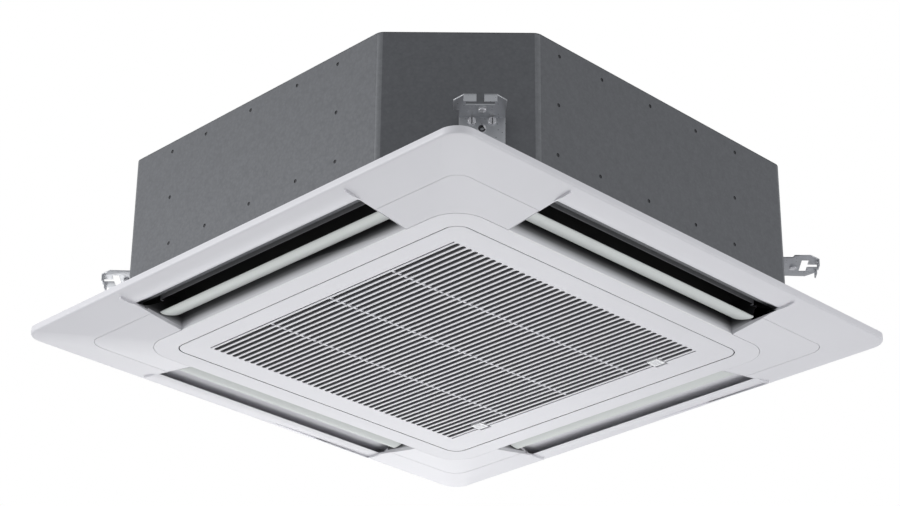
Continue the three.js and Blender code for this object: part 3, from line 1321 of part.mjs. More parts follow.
function pumpBracket() {
  const z0 = PUMP_BRACKET_Z;
  const foot = PAN_TOP + FIT_GAP;
  const [x0, x1] = [PUMP_X - PUMP_PLATE_OUTER, PUMP_X + PUMP_PLATE_INNER];
  const [y0, y1] = [PUMP_Y - PUMP_PLATE_INNER, PUMP_Y + PUMP_PLATE_OUTER];
  const plate = box(x0, x1, y0, y1, z0, z0 + SHEET);
  const outer = box(x0, x0 + PUMP_LEG_OUTER, y1 - PUMP_LEG_OUTER, y1, foot, z0 + SHEET / 2);
  const inner = box(x1 - PUMP_LEG_INNER, x1, y0, y0 + PUMP_LEG_INNER, foot, z0 + SHEET / 2);
  const suction = upright(SUCTION_R + FIT_GAP + 0.2, PUMP_X, PUMP_Y, z0 - OVERCUT, z0 + SHEET + OVERCUT, 20);
  const stem = upright(FLOAT_STEM_R + 0.5, FLOAT_X, FLOAT_Y, z0 - OVERCUT, z0 + SHEET + OVERCUT, 14);
  return cut(join(plate, outer, inner), suction, stem);
}

function drainPump() {
  const z0 = PUMP_BRACKET_Z + SHEET + FIT_GAP;
  const outletZ = z0 + PUMP_HEIGHT * 0.6;
  return join(
    upright(PUMP_R, PUMP_X, PUMP_Y, z0, z0 + PUMP_HEIGHT * 0.7, 28),
    upright(PUMP_R * 0.7, PUMP_X, PUMP_Y, z0, z0 + PUMP_HEIGHT, 28),
    upright(SUCTION_R, PUMP_X, PUMP_Y, TROUGH_FLOOR + 3, z0 + OVERCUT, 20),
    alongY(HOSE_R * 0.8, PUMP_X, outletZ - 6, PUMP_Y, PUMP_Y + PUMP_R + 8, 14),
  );
}

function floatSwitch() {
  const z0 = PUMP_BRACKET_Z + SHEET + FIT_GAP;
  return join(
    upright(7, FLOAT_X, FLOAT_Y, z0, z0 + 4, 16),
    upright(FLOAT_STEM_R, FLOAT_X, FLOAT_Y, TROUGH_FLOOR + 5, z0 + OVERCUT, 12),
    upright(FLOAT_R, FLOAT_X, FLOAT_Y, TROUGH_FLOOR + 9, TROUGH_FLOOR + 27, 20),
  );
}

function drainHose() {
  const startY = PUMP_Y + PUMP_R + 8 + FIT_GAP;
  const startZ = PUMP_BRACKET_Z + SHEET + FIT_GAP + PUMP_HEIGHT * 0.6 - 6;
  const endY = LINING_INNER - 8 - FIT_GAP;
  return tube([
    [PUMP_X, startY, startZ], [PUMP_X, startY + 12, startZ], [PUMP_X + 3, startY + 34, startZ + 14],
    [DRAIN_X - 2, endY - 32, DRAIN_Z - 10], [DRAIN_X, endY - 12, DRAIN_Z], [DRAIN_X, endY, DRAIN_Z],
  ], HOSE_R, 14, 8);
}

function drainSocket() {
  const [y0, y1] = [LINING_INNER - 8, CABINET_HALF + DRAIN_REACH];
  const seat = CABINET_HALF + FIT_GAP;
  const collar = alongY(DRAIN_SOCKET_R + 6, DRAIN_X, DRAIN_Z, seat, seat + 3);
  const tubeBody = alongY(DRAIN_SOCKET_R, DRAIN_X, DRAIN_Z, y0, y1);
  return cut(join(collar, tubeBody), alongY(DRAIN_BORE_R, DRAIN_X, DRAIN_Z, y0 - OVERCUT, y1 + OVERCUT));
}

// ---------------------------------------------------------------- control box

function controlBox() {
  const [y0, y1] = [BOX_FRONT, BOX_FRONT + BOX_WIDTH];
  const w = BOX_WALL;
  let tray = cut(
    box(-BOX_HALF, BOX_HALF, y0, y1, BOX_BASE, BOX_TOP),
    box(-BOX_HALF + w, BOX_HALF - w, y0 + w, y1 - w, BOX_BASE - OVERCUT, BOX_TOP - w),
  );
  const posts = [
    [-BOX_HALF * 0.75, y0 + 12], [BOX_HALF * 0.35, y0 + 12],
    [-BOX_HALF * 0.75, y1 - 12], [BOX_HALF * 0.35, y1 - 12],
  ];
  for (const [x, y] of posts) {
    tray = join(tray, upright(3, x, y, BOX_TOP - w - BOARD_STANDOFF, BOX_TOP - w / 2, 10));
  }
  return tray;
}

function controlLid() {
  const z1 = BOX_BASE - FIT_GAP;
  const [y0, y1] = [BOX_FRONT - 1, BOX_FRONT + BOX_WIDTH + 1];
  return box(-BOX_HALF - 1, BOX_HALF + 1, y0, y1, z1 - SHEET, z1);
}

function circuitBoard() {
  const z1 = BOX_TOP - BOX_WALL - BOARD_STANDOFF - FIT_GAP;
  const [y0, y1] = [BOX_FRONT + 5, BOX_FRONT + BOX_WIDTH - 5];
  const mid = (y0 + y1) / 2;
  return join(
    box(-BOX_HALF * 0.85, BOX_HALF * 0.45, y0, y1, z1 - BOARD, z1),
    box(-BOX_HALF * 0.7, -BOX_HALF * 0.5, mid - 12, mid + 12, z1 - BOARD - 8, z1 - BOARD / 2),
    box(-BOX_HALF * 0.35, -BOX_HALF * 0.2, mid - 10, mid + 2, z1 - BOARD - 9, z1 - BOARD / 2),
    upright(7, 0, mid, z1 - BOARD - 10, z1 - BOARD / 2, 14),
    upright(5, BOX_HALF * 0.2, mid + 6, z1 - BOARD - 9, z1 - BOARD / 2, 12),
    box(BOX_HALF * 0.3, BOX_HALF * 0.42, mid - 14, mid + 14, z1 - BOARD - 6, z1 - BOARD / 2),
  );
}

function terminalBlock() {
  const z1 = BOX_TOP - BOX_WALL - FIT_GAP;
  const [y0, y1] = [BOX_FRONT + 8, BOX_FRONT + BOX_WIDTH - 8];
  const x0 = BOX_HALF * 0.55;
  const x1 = BOX_HALF * 0.9;
  let block = box(x0, x1, y0, y1, z1 - 14, z1);
  const ways = 4;
  for (let i = 0; i < ways; i += 1) {
    const y = y0 + (i + 0.5) * (y1 - y0) / ways;
    block = cut(block, box(x0 + 4, x1 - 4, y - 3, y + 3, z1 - 15, z1 - 8));
  }
  return block;
}

function airSensor() {
  const x = BOX_HALF + FIT_GAP;
  const y = BOX_FRONT + BOX_WIDTH / 2;
  return join(
    box(x, x + 8, y - 6, y + 6, BOX_BASE + 4, BOX_BASE + 12),
    alongX(3, y, BOX_BASE + 8, x + 6, x + 26, 12),
  );
}

function cableGland() {
  const body = join(
    alongY(GLAND_R, GLAND_X, GLAND_Z, LINING_INNER + 1, CABINET_HALF + 3, 24),
    alongY(GLAND_R + GLAND_COLLAR, GLAND_X, GLAND_Z, CABINET_HALF + FIT_GAP, CABINET_HALF + GLAND_COLLAR, 24),
  );
  const end = CABINET_HALF + GLAND_COLLAR + OVERCUT;
  return cut(body, alongY(GLAND_R - GLAND_WALL, GLAND_X, GLAND_Z, LINING_INNER, end, 20));
}

// ---------------------------------------------------------------- the assembly

const unit = new THREE.Group();

function place(name, body, look, turn = 0) {
  const mesh = new THREE.Mesh(geometryOf(body), new THREE.MeshStandardMaterial(look));
  mesh.name = name;
  mesh.rotation.z = turn;
  unit.add(mesh);
  return mesh;
}

place('panel_frame', panelFrame(), PANEL_WHITE);
for (const { name, turn } of CORNERS) {
  place(`corner_cover_${name}`, cornerCover(), PANEL_WHITE, turn);
  place(`panel_screw_${name}`, panelScrew(), STEEL, turn);
}
for (const { name, turn } of SIDES) {
  place(`vane_${name}`, vane(), VANE_GREY, turn);
  place(`vane_motor_${name}`, vaneMotor(), GREY_PLASTIC, turn);
}
place('intake_grille', intakeGrille(), PANEL_WHITE);
place('grille_latch_left', grilleLatch(), PANEL_WHITE).position.x = -LATCH_SPREAD;
place('grille_latch_right', grilleLatch(), PANEL_WHITE).position.x = LATCH_SPREAD;
place('air_filter', airFilter(), NET_GREY);

place('cabinet_wall', cabinetWall(), GALVANISED);
place('top_plate', topPlate(), GALVANISED);
place('wall_lining', wallLining(), DARK_FOAM);
place('top_insulation', topInsulation(), DARK_FOAM);
for (const { name, turn, offset } of CORNERS) {
  const bracket = hangerBracket().translate([CUT_WALL, offset, 0]);
  place(`hanger_bracket_${name}`, bracket, ZINC, turn + Math.PI / 4);
}

place('drain_pan', drainPan(), FOAM);
place('bell_mouth', bellMouth(), BLACK_PLASTIC);
place('turbo_fan', turboFan(), GREY_PLASTIC);
place('motor_shaft', motorShaft(), STEEL);
place('fan_nut', fanNut(), STEEL);
place('fan_motor', fanMotor(), GALVANISED);
damperTurns().forEach((turn, i) => place(`motor_damper_${i + 1}`, motorDamper(), RUBBER, turn));

place('heat_exchanger', heatExchanger(), FIN_ALUMINIUM);
place('coil_end_plate_back', coilEndPlate(), GALVANISED).position.x = -COIL_END;
const leftPlate = coilEndPlate().mirror([0, 1, 0]).translate([-COIL_END, 0, 0]);
place('coil_end_plate_left', leftPlate, GALVANISED, -Math.PI / 2);
place('coil_baffle', coilBaffle(), GALVANISED);
place('gas_pipe', gasPipe(), COPPER);
place('liquid_pipe', liquidPipe(), COPPER);
place('gas_flare_nut', flareNut(GAS_R, GAS_Y, GAS_Z), BRASS);
place('liquid_flare_nut', flareNut(LIQUID_R, LIQUID_Y, LIQUID_Z), BRASS);
place('pipe_cover_plate', pipeCoverPlate(), GALVANISED);

place('pump_bracket', pumpBracket(), GALVANISED);
place('drain_pump', drainPump(), GREY_PLASTIC);
place('float_switch', floatSwitch(), PANEL_WHITE);
place('drain_hose', drainHose(), RUBBER);
place('drain_socket', drainSocket(), GREY_PLASTIC);

place('control_box', controlBox(), GALVANISED);
place('control_lid', controlLid(), GALVANISED);
place('circuit_board', circuitBoard(), BOARD_GREEN);
place('terminal_block', terminalBlock(), BLACK_PLASTIC);
place('air_sensor', airSensor(), BLACK_PLASTIC);
place('cable_gland', cableGland(), RUBBER);

export default unit;
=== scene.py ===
import json
import math

import bmesh
import bpy
from mathutils import Matrix, Vector


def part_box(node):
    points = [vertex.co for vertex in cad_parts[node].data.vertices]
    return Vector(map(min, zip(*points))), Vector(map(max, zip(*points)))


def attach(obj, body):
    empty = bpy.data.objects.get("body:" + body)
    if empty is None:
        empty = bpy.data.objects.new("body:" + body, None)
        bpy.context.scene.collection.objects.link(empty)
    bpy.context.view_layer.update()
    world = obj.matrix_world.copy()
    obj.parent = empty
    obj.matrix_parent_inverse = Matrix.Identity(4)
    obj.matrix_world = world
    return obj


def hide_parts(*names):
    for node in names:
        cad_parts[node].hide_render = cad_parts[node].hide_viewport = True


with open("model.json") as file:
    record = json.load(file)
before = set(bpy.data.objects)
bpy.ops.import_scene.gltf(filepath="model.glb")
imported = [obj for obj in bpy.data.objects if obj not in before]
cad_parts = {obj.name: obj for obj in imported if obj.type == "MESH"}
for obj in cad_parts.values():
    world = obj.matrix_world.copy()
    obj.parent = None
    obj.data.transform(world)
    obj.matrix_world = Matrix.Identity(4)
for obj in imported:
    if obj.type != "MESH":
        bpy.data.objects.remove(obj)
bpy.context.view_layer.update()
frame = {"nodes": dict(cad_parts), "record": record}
scene = bpy.context.scene

# ---------------------------------------------------------------------------------------------
# The room: the unit hangs at ceiling height over a pale floor, seen from below one corner.
# Soft lamps stand at the sides and low behind it, a wide one lies under it and one hangs over
# it; the room is plain white all round.
scene.view_settings.view_transform = "Standard"

across = Vector((0.70699298, 0.70717173, 0.00831040))
upward = Vector((0.30530102, -0.31578117, 0.89837272))
toward = across.cross(upward)
camera_data = bpy.data.cameras.new("camera")
camera_data.sensor_width = 36
camera_data.lens = 91.95
camera_data.clip_end = 200
camera = bpy.data.objects.new("camera", camera_data)
camera.matrix_world = Matrix.LocRotScale(
    Vector((2.3037, -2.3007, -1.4531)),
    Matrix((across, upward, toward)).transposed(),
    None,
)
scene.collection.objects.link(camera)
scene.camera = camera


def white_behind(tree, colour, strength):
    """Light of the given strength that the camera and glass see as plain white."""
    path = tree.nodes.new("ShaderNodeLightPath")
    seen = tree.nodes.new("ShaderNodeMath")
    seen.operation = "MAXIMUM"
    tree.links.new(path.outputs["Is Camera Ray"], seen.inputs[0])
    tree.links.new(path.outputs["Is Transmission Ray"], seen.inputs[1])
    light = tree.nodes.new("ShaderNodeBackground")
    light.inputs["Color"].default_value = (*colour, 1)
    light.inputs["Strength"].default_value = strength
    shown = tree.nodes.new("ShaderNodeBackground")
    shown.inputs["Color"].default_value = (1, 1, 1, 1)
    mix = tree.nodes.new("ShaderNodeMixShader")
    tree.links.new(seen.outputs[0], mix.inputs["Fac"])
    tree.links.new(light.outputs[0], mix.inputs[1])
    tree.links.new(shown.outputs[0], mix.inputs[2])
    return mix


world = bpy.data.worlds.new("room")
scene.world = world
world.use_nodes = True
world.node_tree.nodes.clear()
world_out = world.node_tree.nodes.new("ShaderNodeOutputWorld")
room_light = white_behind(world.node_tree, (0.95, 0.97, 1.0), 0.50)
world.node_tree.links.new(room_light.outputs[0], world_out.inputs["Surface"])

floor_mesh = bpy.data.meshes.new("floor")
floor_mesh.from_pydata(
    [(-40, -40, -9), (40, -40, -9), (40, 40, -9), (-40, 40, -9)], [], [(0, 1, 2, 3)]
)
floor = bpy.data.objects.new("floor", floor_mesh)
scene.collection.objects.link(floor)
floor_paint = bpy.data.materials.new("floor_paint")
floor_paint.use_nodes = True
floor_tree = floor_paint.node_tree
floor_surface = floor_tree.nodes["Principled BSDF"]
floor_surface.inputs["Base Color"].default_value = (0.9, 0.9, 0.9, 1)
floor_surface.inputs["Roughness"].default_value = 0.9
floor_path = floor_tree.nodes.new("ShaderNodeLightPath")
floor_share = floor_tree.nodes.new("ShaderNodeMath")
floor_share.operation = "MULTIPLY"
floor_share.inputs[1].default_value = 0.8
floor_tree.links.new(floor_path.outputs["Is Camera Ray"], floor_share.inputs[0])
floor_white = floor_tree.nodes.new("ShaderNodeEmission")
floor_white.inputs["Strength"].default_value = 1
floor_mix = floor_tree.nodes.new("ShaderNodeMixShader")
floor_tree.links.new(floor_share.outputs[0], floor_mix.inputs["Fac"])
floor_tree.links.new(floor_surface.outputs[0], floor_mix.inputs[1])
floor_tree.links.new(floor_white.outputs[0], floor_mix.inputs[2])
floor_tree.links.new(floor_mix.outputs[0], floor_tree.nodes["Material Output"].inputs["Surface"])
floor_mesh.materials.append(floor_paint)


def soft_lamp(name, place, target, width, power):
    lamp_data = bpy.data.lights.new(name, "AREA")
    lamp_data.shape = "DISK"
    lamp_data.size = width
    lamp_data.energy = power
    lamp = bpy.data.objects.new(name, lamp_data)
    lamp.location = place
    lamp.rotation_euler = (Vector(target) - Vector(place)).to_track_quat("-Z", "Y").to_euler()
    lamp.visible_camera = False
    scene.collection.objects.link(lamp)


soft_lamp("left_lamp", (-2.2, -3.8, 0.25), (0, 0, 0.1), 2.2, 100)
soft_lamp("right_lamp", (3.8, 2.0, -0.45), (0, 0, 0), 2.0, 46)
soft_lamp("under_lamp", (-0.7, 1.4, -2.3), (0, 0.2, 0), 2.4, 27)
soft_lamp("far_lamp", (-3.3, 2.4, -1.3), (0, 0, 0), 2.6, 34)
soft_lamp("top_lamp", (-1.3, 1.3, 3.4), (0, 0, 0.24), 2.4, 90)

# ---------------------------------------------------------------------------------------------
# The panel frame, a single moulding of white styrene: rim, sloped border, the rolled lips and
# throats of the four outlets, and the flat margin round the grille. It is moulded in one shot
# with a fine satin texture, and screwed up to the cabinet at its corners.
MM = 0.001
PANEL_HALF = 475
INNER_HALF = 345
OUTLET_HALF = 245
THROAT_OUTER = 384
PANEL_DEPTH = 30
RIM_HEIGHT = 10.4
GRILLE_OPENING = 310.6
LIP_START = 462.5
EDGE_ROUND = 3.4
HINGE_X = 200
HINGE_Y = -287
HINGE_Z = -23.6
LATCH_X = 192
SCREW_PLACE = 342.31


def solid_from(name, verts, faces):
    """A closed mesh from millimetres, with its faces turned outward."""
    mesh = bpy.data.meshes.new(name)
    mesh.from_pydata([[c * MM for c in v] for v in verts], [], faces)
    bm = bmesh.new()
    bm.from_mesh(mesh)
    bmesh.ops.remove_doubles(bm, verts=bm.verts, dist=1e-7)
    bmesh.ops.recalc_face_normals(bm, faces=bm.faces)
    bm.to_mesh(mesh)
    bm.free()
    piece = bpy.data.objects.new(name, mesh)
    scene.collection.objects.link(piece)
    return piece


def rounded_square(half, corner, flats):
    centre = half - corner
    points = []
    for sx, sy, quarter in ((1, 1, 0), (-1, 1, 1), (-1, -1, 2), (1, -1, 3)):
        for i in range(flats + 1):
            angle = (quarter + i / flats) * math.pi / 2
            points.append((sx * centre + corner * math.cos(angle), sy * centre + corner * math.sin(angle)))
    return points


def square_frame(name, loop, flats=16):
    """A frame whose section is a loop of (half width, corner radius, height) squares."""
    verts = []
    for half, corner, z in loop:
        verts += [(x, y, z) for x, y in rounded_square(half, corner, flats)]
    count = 4 * (flats + 1)
    faces = []
    for level in range(len(loop)):
        above = (level + 1) % len(loop)
        for i in range(count):
            j = (i + 1) % count
            faces.append((level * count + i, level * count + j, above * count + j, above * count + i))
    return solid_from(name, verts, faces)


def drawn_out(name, section, y0, y1):
    """A section in x and z, drawn out along y."""
    count = len(section)
    verts = [(x, y0, z) for x, z in section] + [(x, y1, z) for x, z in section]
    faces = [tuple(range(count)), tuple(range(2 * count - 1, count - 1, -1))]
    faces += [(i, (i + 1) % count, count + (i + 1) % count, count + i) for i in range(count)]
    return solid_from(name, verts, faces)


def raised(name, outline, z0, z1):
    """An outline in plan, raised from z0 to z1."""
    count = len(outline)
    verts = [(x, y, z0) for x, y in outline] + [(x, y, z1) for x, y in outline]
    faces = [tuple(range(count)), tuple(range(2 * count - 1, count - 1, -1))]
    faces += [(i, (i + 1) % count, count + (i + 1) % count, count + i) for i in range(count)]
    return solid_from(name, verts, faces)


def block(name, low, high):
    (x0, y0, z0), (x1, y1, z1) = low, high
    return raised(name, [(x0, y0), (x1, y0), (x1, y1), (x0, y1)], z0, z1)


def round_bar(name, radius, start, end, sides=40):
    """A round bar between two points."""
    start, end = Vector(start), Vector(end)
    along = (end - start).normalized()
    turn = along.to_track_quat("Z", "Y").to_matrix()
    verts = []
    for place in (start, end):
        for k in range(sides):
            angle = k / sides * 2 * math.pi
            spoke = Vector((radius * math.cos(angle), radius * math.sin(angle), 0))
            verts.append(tuple(place + turn @ spoke))
    faces = [tuple(range(sides)), tuple(range(2 * sides - 1, sides - 1, -1))]
    faces += [(i, (i + 1) % sides, sides + (i + 1) % sides, sides + i) for i in range(sides)]
    return solid_from(name, verts, faces)


def swung(piece, degrees):
    piece.data.transform(Matrix.Rotation(math.radians(degrees), 4, "Z"))
    return piece


def combined(piece, tools, operation):
    """The piece after its tools are cut from it, added to it or kept in common with it."""
    for tool in tools:
        change = piece.modifiers.new(operation, "BOOLEAN")
        change.operation = operation
        change.solver = "MANIFOLD"
        change.object = tool
    settle(piece)
    for tool in tools:
        bpy.data.objects.remove(tool)
    return piece


def settle(piece):
    """Applies a piece's modifiers to its mesh."""
    bpy.context.view_layer.update()
    graph = bpy.context.evaluated_depsgraph_get()
    mesh = bpy.data.meshes.new_from_object(piece.evaluated_get(graph))
    piece.modifiers.clear()
    piece.data = mesh
    mesh.name = piece.name
    return piece


def shaded(piece, smooth, stays_flat=None):
    """Smooths the shading, except over sharp edges and round the faces that stay flat."""
    for face in piece.data.polygons:
        face.use_smooth = True
    piece.data.set_sharp_from_angle(angle=math.radians(smooth))
    if stays_flat:
        bm = bmesh.new()
        bm.from_mesh(piece.data)
        for edge in bm.edges:
            if len({stays_flat(face) for face in edge.link_faces}) > 1:
                edge.smooth = False
        bm.to_mesh(piece.data)
        bm.free()
    weigh = piece.modifiers.new("weigh", "WEIGHTED_NORMAL")
    weigh.keep_sharp = True
    return settle(piece)


def softened(piece, width, segments=3, angle=32, smooth=50):
    """Rounds the sharp edges of a piece and smooths its shading."""
    edge = piece.modifiers.new("edge", "BEVEL")
    edge.width = width * MM
    edge.segments = segments
    edge.limit_method = "ANGLE"
    edge.angle_limit = math.radians(angle)
    edge.harden_normals = False
    edge.miter_outer = "MITER_ARC"
    return shaded(settle(piece), smooth)


def coated(piece, *finishes):
    """Gives a piece its finishes, each to the faces that carry its number."""
    numbers = [face.material_index for face in piece.data.polygons]
    piece.data.materials.clear()
    for finish in finishes:
        piece.data.materials.append(finish)
    for face, number in zip(piece.data.polygons, numbers):
        face.material_index = min(number, len(finishes) - 1)


def slope_height(u):
    return -PANEL_DEPTH + (u - INNER_HALF) * (PANEL_DEPTH - RIM_HEIGHT) / (PANEL_HALF - INNER_HALF)


def slope_corner(u):
    return 50 - (u - INNER_HALF) * 20 / (PANEL_HALF - INNER_HALF)


def slope_level(u, lift):
    return (u, slope_corner(u), slope_height(u) + lift)


def lip_curve(offset, steps=22):
    """The rolled lip of an outlet, from the slope up to the straight throat."""
    ends = [
        Vector((LIP_START, slope_height(LIP_START))),
        Vector((LIP_START - 16.4, slope_height(LIP_START) - 2.7)),
        Vector((LIP_START - 36.5, -20)),
        Vector((THROAT_OUTER, 10)),
    ]
    points = []
    for i in range(steps + 1):
        t = i / steps
        s = 1 - t
        place = ends[0] * s ** 3 + ends[1] * 3 * s * s * t + ends[2] * 3 * s * t * t + ends[3] * t ** 3
        along = (ends[1] - ends[0]) * 3 * s * s + (ends[2] - ends[1]) * 6 * s * t
        along = (along + (ends[3] - ends[2]) * 3 * t * t).normalized()
        points.append((place.x + along.y * offset, place.y - along.x * offset))
    return points


def moulded(name, colour, roughness, grain=0.35, shade=0.012):
    """White moulded plastic: a fine spark-eroded texture, faint flow clouds and a satin gloss."""
    material = bpy.data.materials.new(name)
    material.use_nodes = True
    tree = material.node_tree
    surface = tree.nodes["Principled BSDF"]
    surface.inputs["Roughness"].default_value = roughness
    surface.inputs["IOR"].default_value = 1.5
    where = tree.nodes.new("ShaderNodeTexCoord")
    clouds = tree.nodes.new("ShaderNodeTexNoise")
    clouds.inputs["Scale"].default_value = 9
    clouds.inputs["Detail"].default_value = 4
    tree.links.new(where.outputs["Object"], clouds.inputs["Vector"])
    tone = tree.nodes.new("ShaderNodeValToRGB")
    tone.color_ramp.elements[0].position = 0.3
    tone.color_ramp.elements[1].position = 0.7
    tone.color_ramp.elements[0].color = (*[c * (1 - shade) for c in colour], 1)
    tone.color_ramp.elements[1].color = (*[min(1, c * (1 + shade)) for c in colour], 1)
    tree.links.new(clouds.outputs["Fac"], tone.inputs["Fac"])
    tree.links.new(tone.outputs["Color"], surface.inputs["Base Color"])
    sparks = tree.nodes.new("ShaderNodeTexNoise")
    sparks.inputs["Scale"].default_value = 1400
    sparks.inputs["Detail"].default_value = 2
    tree.links.new(where.outputs["Object"], sparks.inputs["Vector"])
    relief = tree.nodes.new("ShaderNodeBump")
    relief.inputs["Strength"].default_value = grain
    relief.inputs["Distance"].default_value = 0.00006
    tree.links.new(sparks.outputs["Fac"], relief.inputs["Height"])
    tree.links.new(relief.outputs["Normal"], surface.inputs["Normal"])
    return material


def darkened(material, distance, stops):
    """Darkens a finish along a distance, by stops of (distance in mm, share of tone)."""
    tree = material.node_tree
    surface = tree.nodes["Principled BSDF"]
    tone = surface.inputs["Base Color"].links[0].from_socket
    start, end = stops[0][0], stops[-1][0]
    span = tree.nodes.new("ShaderNodeMapRange")
    span.inputs["From Min"].default_value = start * MM
    span.inputs["From Max"].default_value = end * MM
    tree.links.new(distance, span.inputs["Value"])
    ramp = tree.nodes.new("ShaderNodeValToRGB")
    elements = ramp.color_ramp.elements
    elements[0].color = (*[stops[0][1]] * 3, 1)
    elements[1].color = (*[stops[-1][1]] * 3, 1)
    for place, share in stops[1:-1]:
        elements.new((place - start) / (end - start)).color = (share, share, share, 1)
    tree.links.new(span.outputs["Result"], ramp.inputs["Fac"])
    dark = tree.nodes.new("ShaderNodeMix")
    dark.data_type = "RGBA"
    dark.blend_type = "MULTIPLY"
    dark.inputs["Factor"].default_value = 1
    tree.links.new(tone, dark.inputs["A"])
    tree.links.new(ramp.outputs["Color"], dark.inputs["B"])
    tree.links.new(dark.outputs["Result"], surface.inputs["Base Color"])
    return material


def darkened_upward(material, stops):
    """Shade that thickens with height in a passage: (height in mm, share of tone)."""
    tree = material.node_tree
    where = tree.nodes.new("ShaderNodeTexCoord")
    parts = tree.nodes.new("ShaderNodeSeparateXYZ")
    tree.links.new(where.outputs["Object"], parts.inputs[0])
    return darkened(material, parts.outputs["Z"], stops)


PANEL_TONE = (0.735, 0.728, 0.758)
panel_white = moulded("panel_white", PANEL_TONE, 0.42)
# A brighter copy of the panel white: a painted highlight, put on the fine chamfer at the inner edge of each
# outlet and on the latch slides.
highlight_white = moulded("highlight_white", (0.93, 0.93, 0.94), 0.3)
# Painted shade: the throat walls of the outlets darken with height as they go up into the unit.
throat_shade = darkened_upward(
    moulded("throat_shade", PANEL_TONE, 0.5),
    [(-29, 1), (-25, 0.93), (-20, 0.62), (-15, 0.2), (-9, 0.06), (0, 0.04)],
)
# Painted shade: the rolled lips darken over their top, where they turn up into the throat.
lip_shade = darkened_upward(
    moulded("lip_shade", PANEL_TONE, 0.45),
    [(-15, 1), (0, 1), (6, 0.93), (9, 0.75), (10, 0.5)],
)
joint_shade = darkened_upward(
    moulded("joint_shade", PANEL_TONE, 0.6),
    [(-30, 0.8), (-29.6, 0.4), (-28.8, 0.1), (-27, 0.04)],
)


def housing(degrees):
    """The walls behind an outlet, as one block from which the outlet is cut."""
    outside = lip_curve(-3.5)
    outside[0] = (LIP_START, outside[0][1])
    section = [
        (INNER_HALF - 3, -28.5), (INNER_HALF, -28.5), (LIP_START, slope_height(LIP_START) + 1.5),
        *outside, (THROAT_OUTER + 3, outside[-1][1]), (THROAT_OUTER + 3, 22), (INNER_HALF - 3, 22),
    ]
    return swung(drawn_out("housing", section, -OUTLET_HALF - 3, OUTLET_HALF + 3), degrees)


def outlet(degrees):
    """The air passage of an outlet, with a fine chamfer at its inner edge."""
    section = [
        (INNER_HALF - 1.0, -60), (LIP_START, -60), *lip_curve(0), (THROAT_OUTER, 23), (INNER_HALF, 23),
        (INNER_HALF, -28.6), (INNER_HALF - 0.3, -29.4), (INNER_HALF - 1.0, -30.1),
    ]
    return swung(drawn_out("outlet", section, -OUTLET_HALF, OUTLET_HALF), degrees)


def drawn_across(name, section, x0, x1):
    """A section in y and z, drawn out along x."""
    piece = drawn_out(name, section, x0, x1)
    piece.data.transform(Matrix(((0, 1, 0, 0), (1, 0, 0, 0), (0, 0, 1, 0), (0, 0, 0, 1))))
    piece.data.flip_normals()
    return piece


def pivot_holes(degrees):
    """The holes in both end walls of an outlet, in which the pins of its vane turn."""
    return swung(round_bar("pivot_holes", 3, (372.3, -249, -6.78), (372.3, 249, -6.78), sides=24), degrees)


def hinge_lugs():
    """The two lugs and eyes that carry the pins of the grille."""
    lugs = []
    for x in (-HINGE_X, HINGE_X):
        lugs.append(drawn_across("lug", [
            (-327.1, -28.5), (-313.1, -28.5), (-313.1, -0.1), (-289.6, -0.1),
            (-289.6, -23.6), (-284.4, -23.6), (-284.4, 3.9), (-327.1, 3.9),
        ], x - 5, x + 5))
        lugs.append(round_bar("eye", 3.3, (x - 5, HINGE_Y, HINGE_Z), (x + 5, HINGE_Y, HINGE_Z), sides=32))
    return lugs


rim_start = slope_height(PANEL_HALF - EDGE_ROUND)
panel = square_frame("panel", [
    (PANEL_HALF, 30, 0), (431.5, 30, 0), (431.5, 30, -0.3), (418, 30, -0.3), (418, 30, -3),
    (472, 27, -3), (472, 27, -7.4),
    slope_level(469, 3), slope_level(411.5, 3), slope_level(411.4, 5.5), slope_level(342, 5.5),
    (341, 47, -27), (GRILLE_OPENING, 23.6, -27), (GRILLE_OPENING, 23.6, -PANEL_DEPTH),
    (INNER_HALF, 50, -PANEL_DEPTH),
    (471.6, slope_corner(471.6), rim_start), (472.9, 29.6, rim_start + 0.35),
    (474.0, 29.8, rim_start + 1.0), (474.7, 30, rim_start + 2.1),
    (PANEL_HALF, 30, rim_start + EDGE_ROUND),
])
SIDE_TURNS = {"right": 0, "back": 90, "left": 180, "front": -90}
CORNER_TURNS = {"back_right": 0, "back_left": 90, "front_left": 180, "front_right": -90}
strikes = [
    block("strike", (x - 10, 311.5, -28.5), (x + 10, 318.5, -18)) for x in (-LATCH_X, LATCH_X)
]


def corner_bar(name, radius, z0, z1, degrees, sides=40):
    """An upright bar round the place of one corner screw."""
    start, end = (SCREW_PLACE, SCREW_PLACE, z0), (SCREW_PLACE, SCREW_PLACE, z1)
    return swung(round_bar(name, radius, start, end, sides), degrees)


bosses = [corner_bar("boss", 8.5, -27, -0.3, turn) for turn in CORNER_TURNS.values()]
housings = [housing(turn) for turn in SIDE_TURNS.values()]
combined(panel, housings + hinge_lugs() + strikes + bosses, "UNION")
combined(panel, [outlet(turn) for turn in SIDE_TURNS.values()], "DIFFERENCE")
combined(panel, [pivot_holes(turn) for turn in SIDE_TURNS.values()], "DIFFERENCE")
bores = [
    round_bar("bore", 2, (x - 7, HINGE_Y, HINGE_Z), (x + 7, HINGE_Y, HINGE_Z), sides=24)
    for x in (-HINGE_X, HINGE_X)
]
for turn in CORNER_TURNS.values():
    bores.append(corner_bar("bore", 6, -60, -20, turn))
    bores.append(corner_bar("bore", 3, -21, 1, turn, sides=24))
combined(panel, bores, "DIFFERENCE")


def cover_outline(inset, flats=16):
    """The plan outline of the corner cover at +X +Y."""
    outer = 404.5 - inset
    start = OUTLET_HALF + 0.3 + inset
    turns = [i / flats * math.pi / 2 for i in range(flats + 1)]
    wide, tight = 27 - inset, 50 + inset
    outward = [(377.5 + wide * math.cos(t), 377.5 + wide * math.sin(t)) for t in turns]
    inward = [(295 + tight * math.cos(t), 295 + tight * math.sin(t)) for t in reversed(turns)]
    return [
        (outer, start), *outward, (start, outer),
        (start, INNER_HALF + inset), *inward, (INNER_HALF + inset, start),
    ]


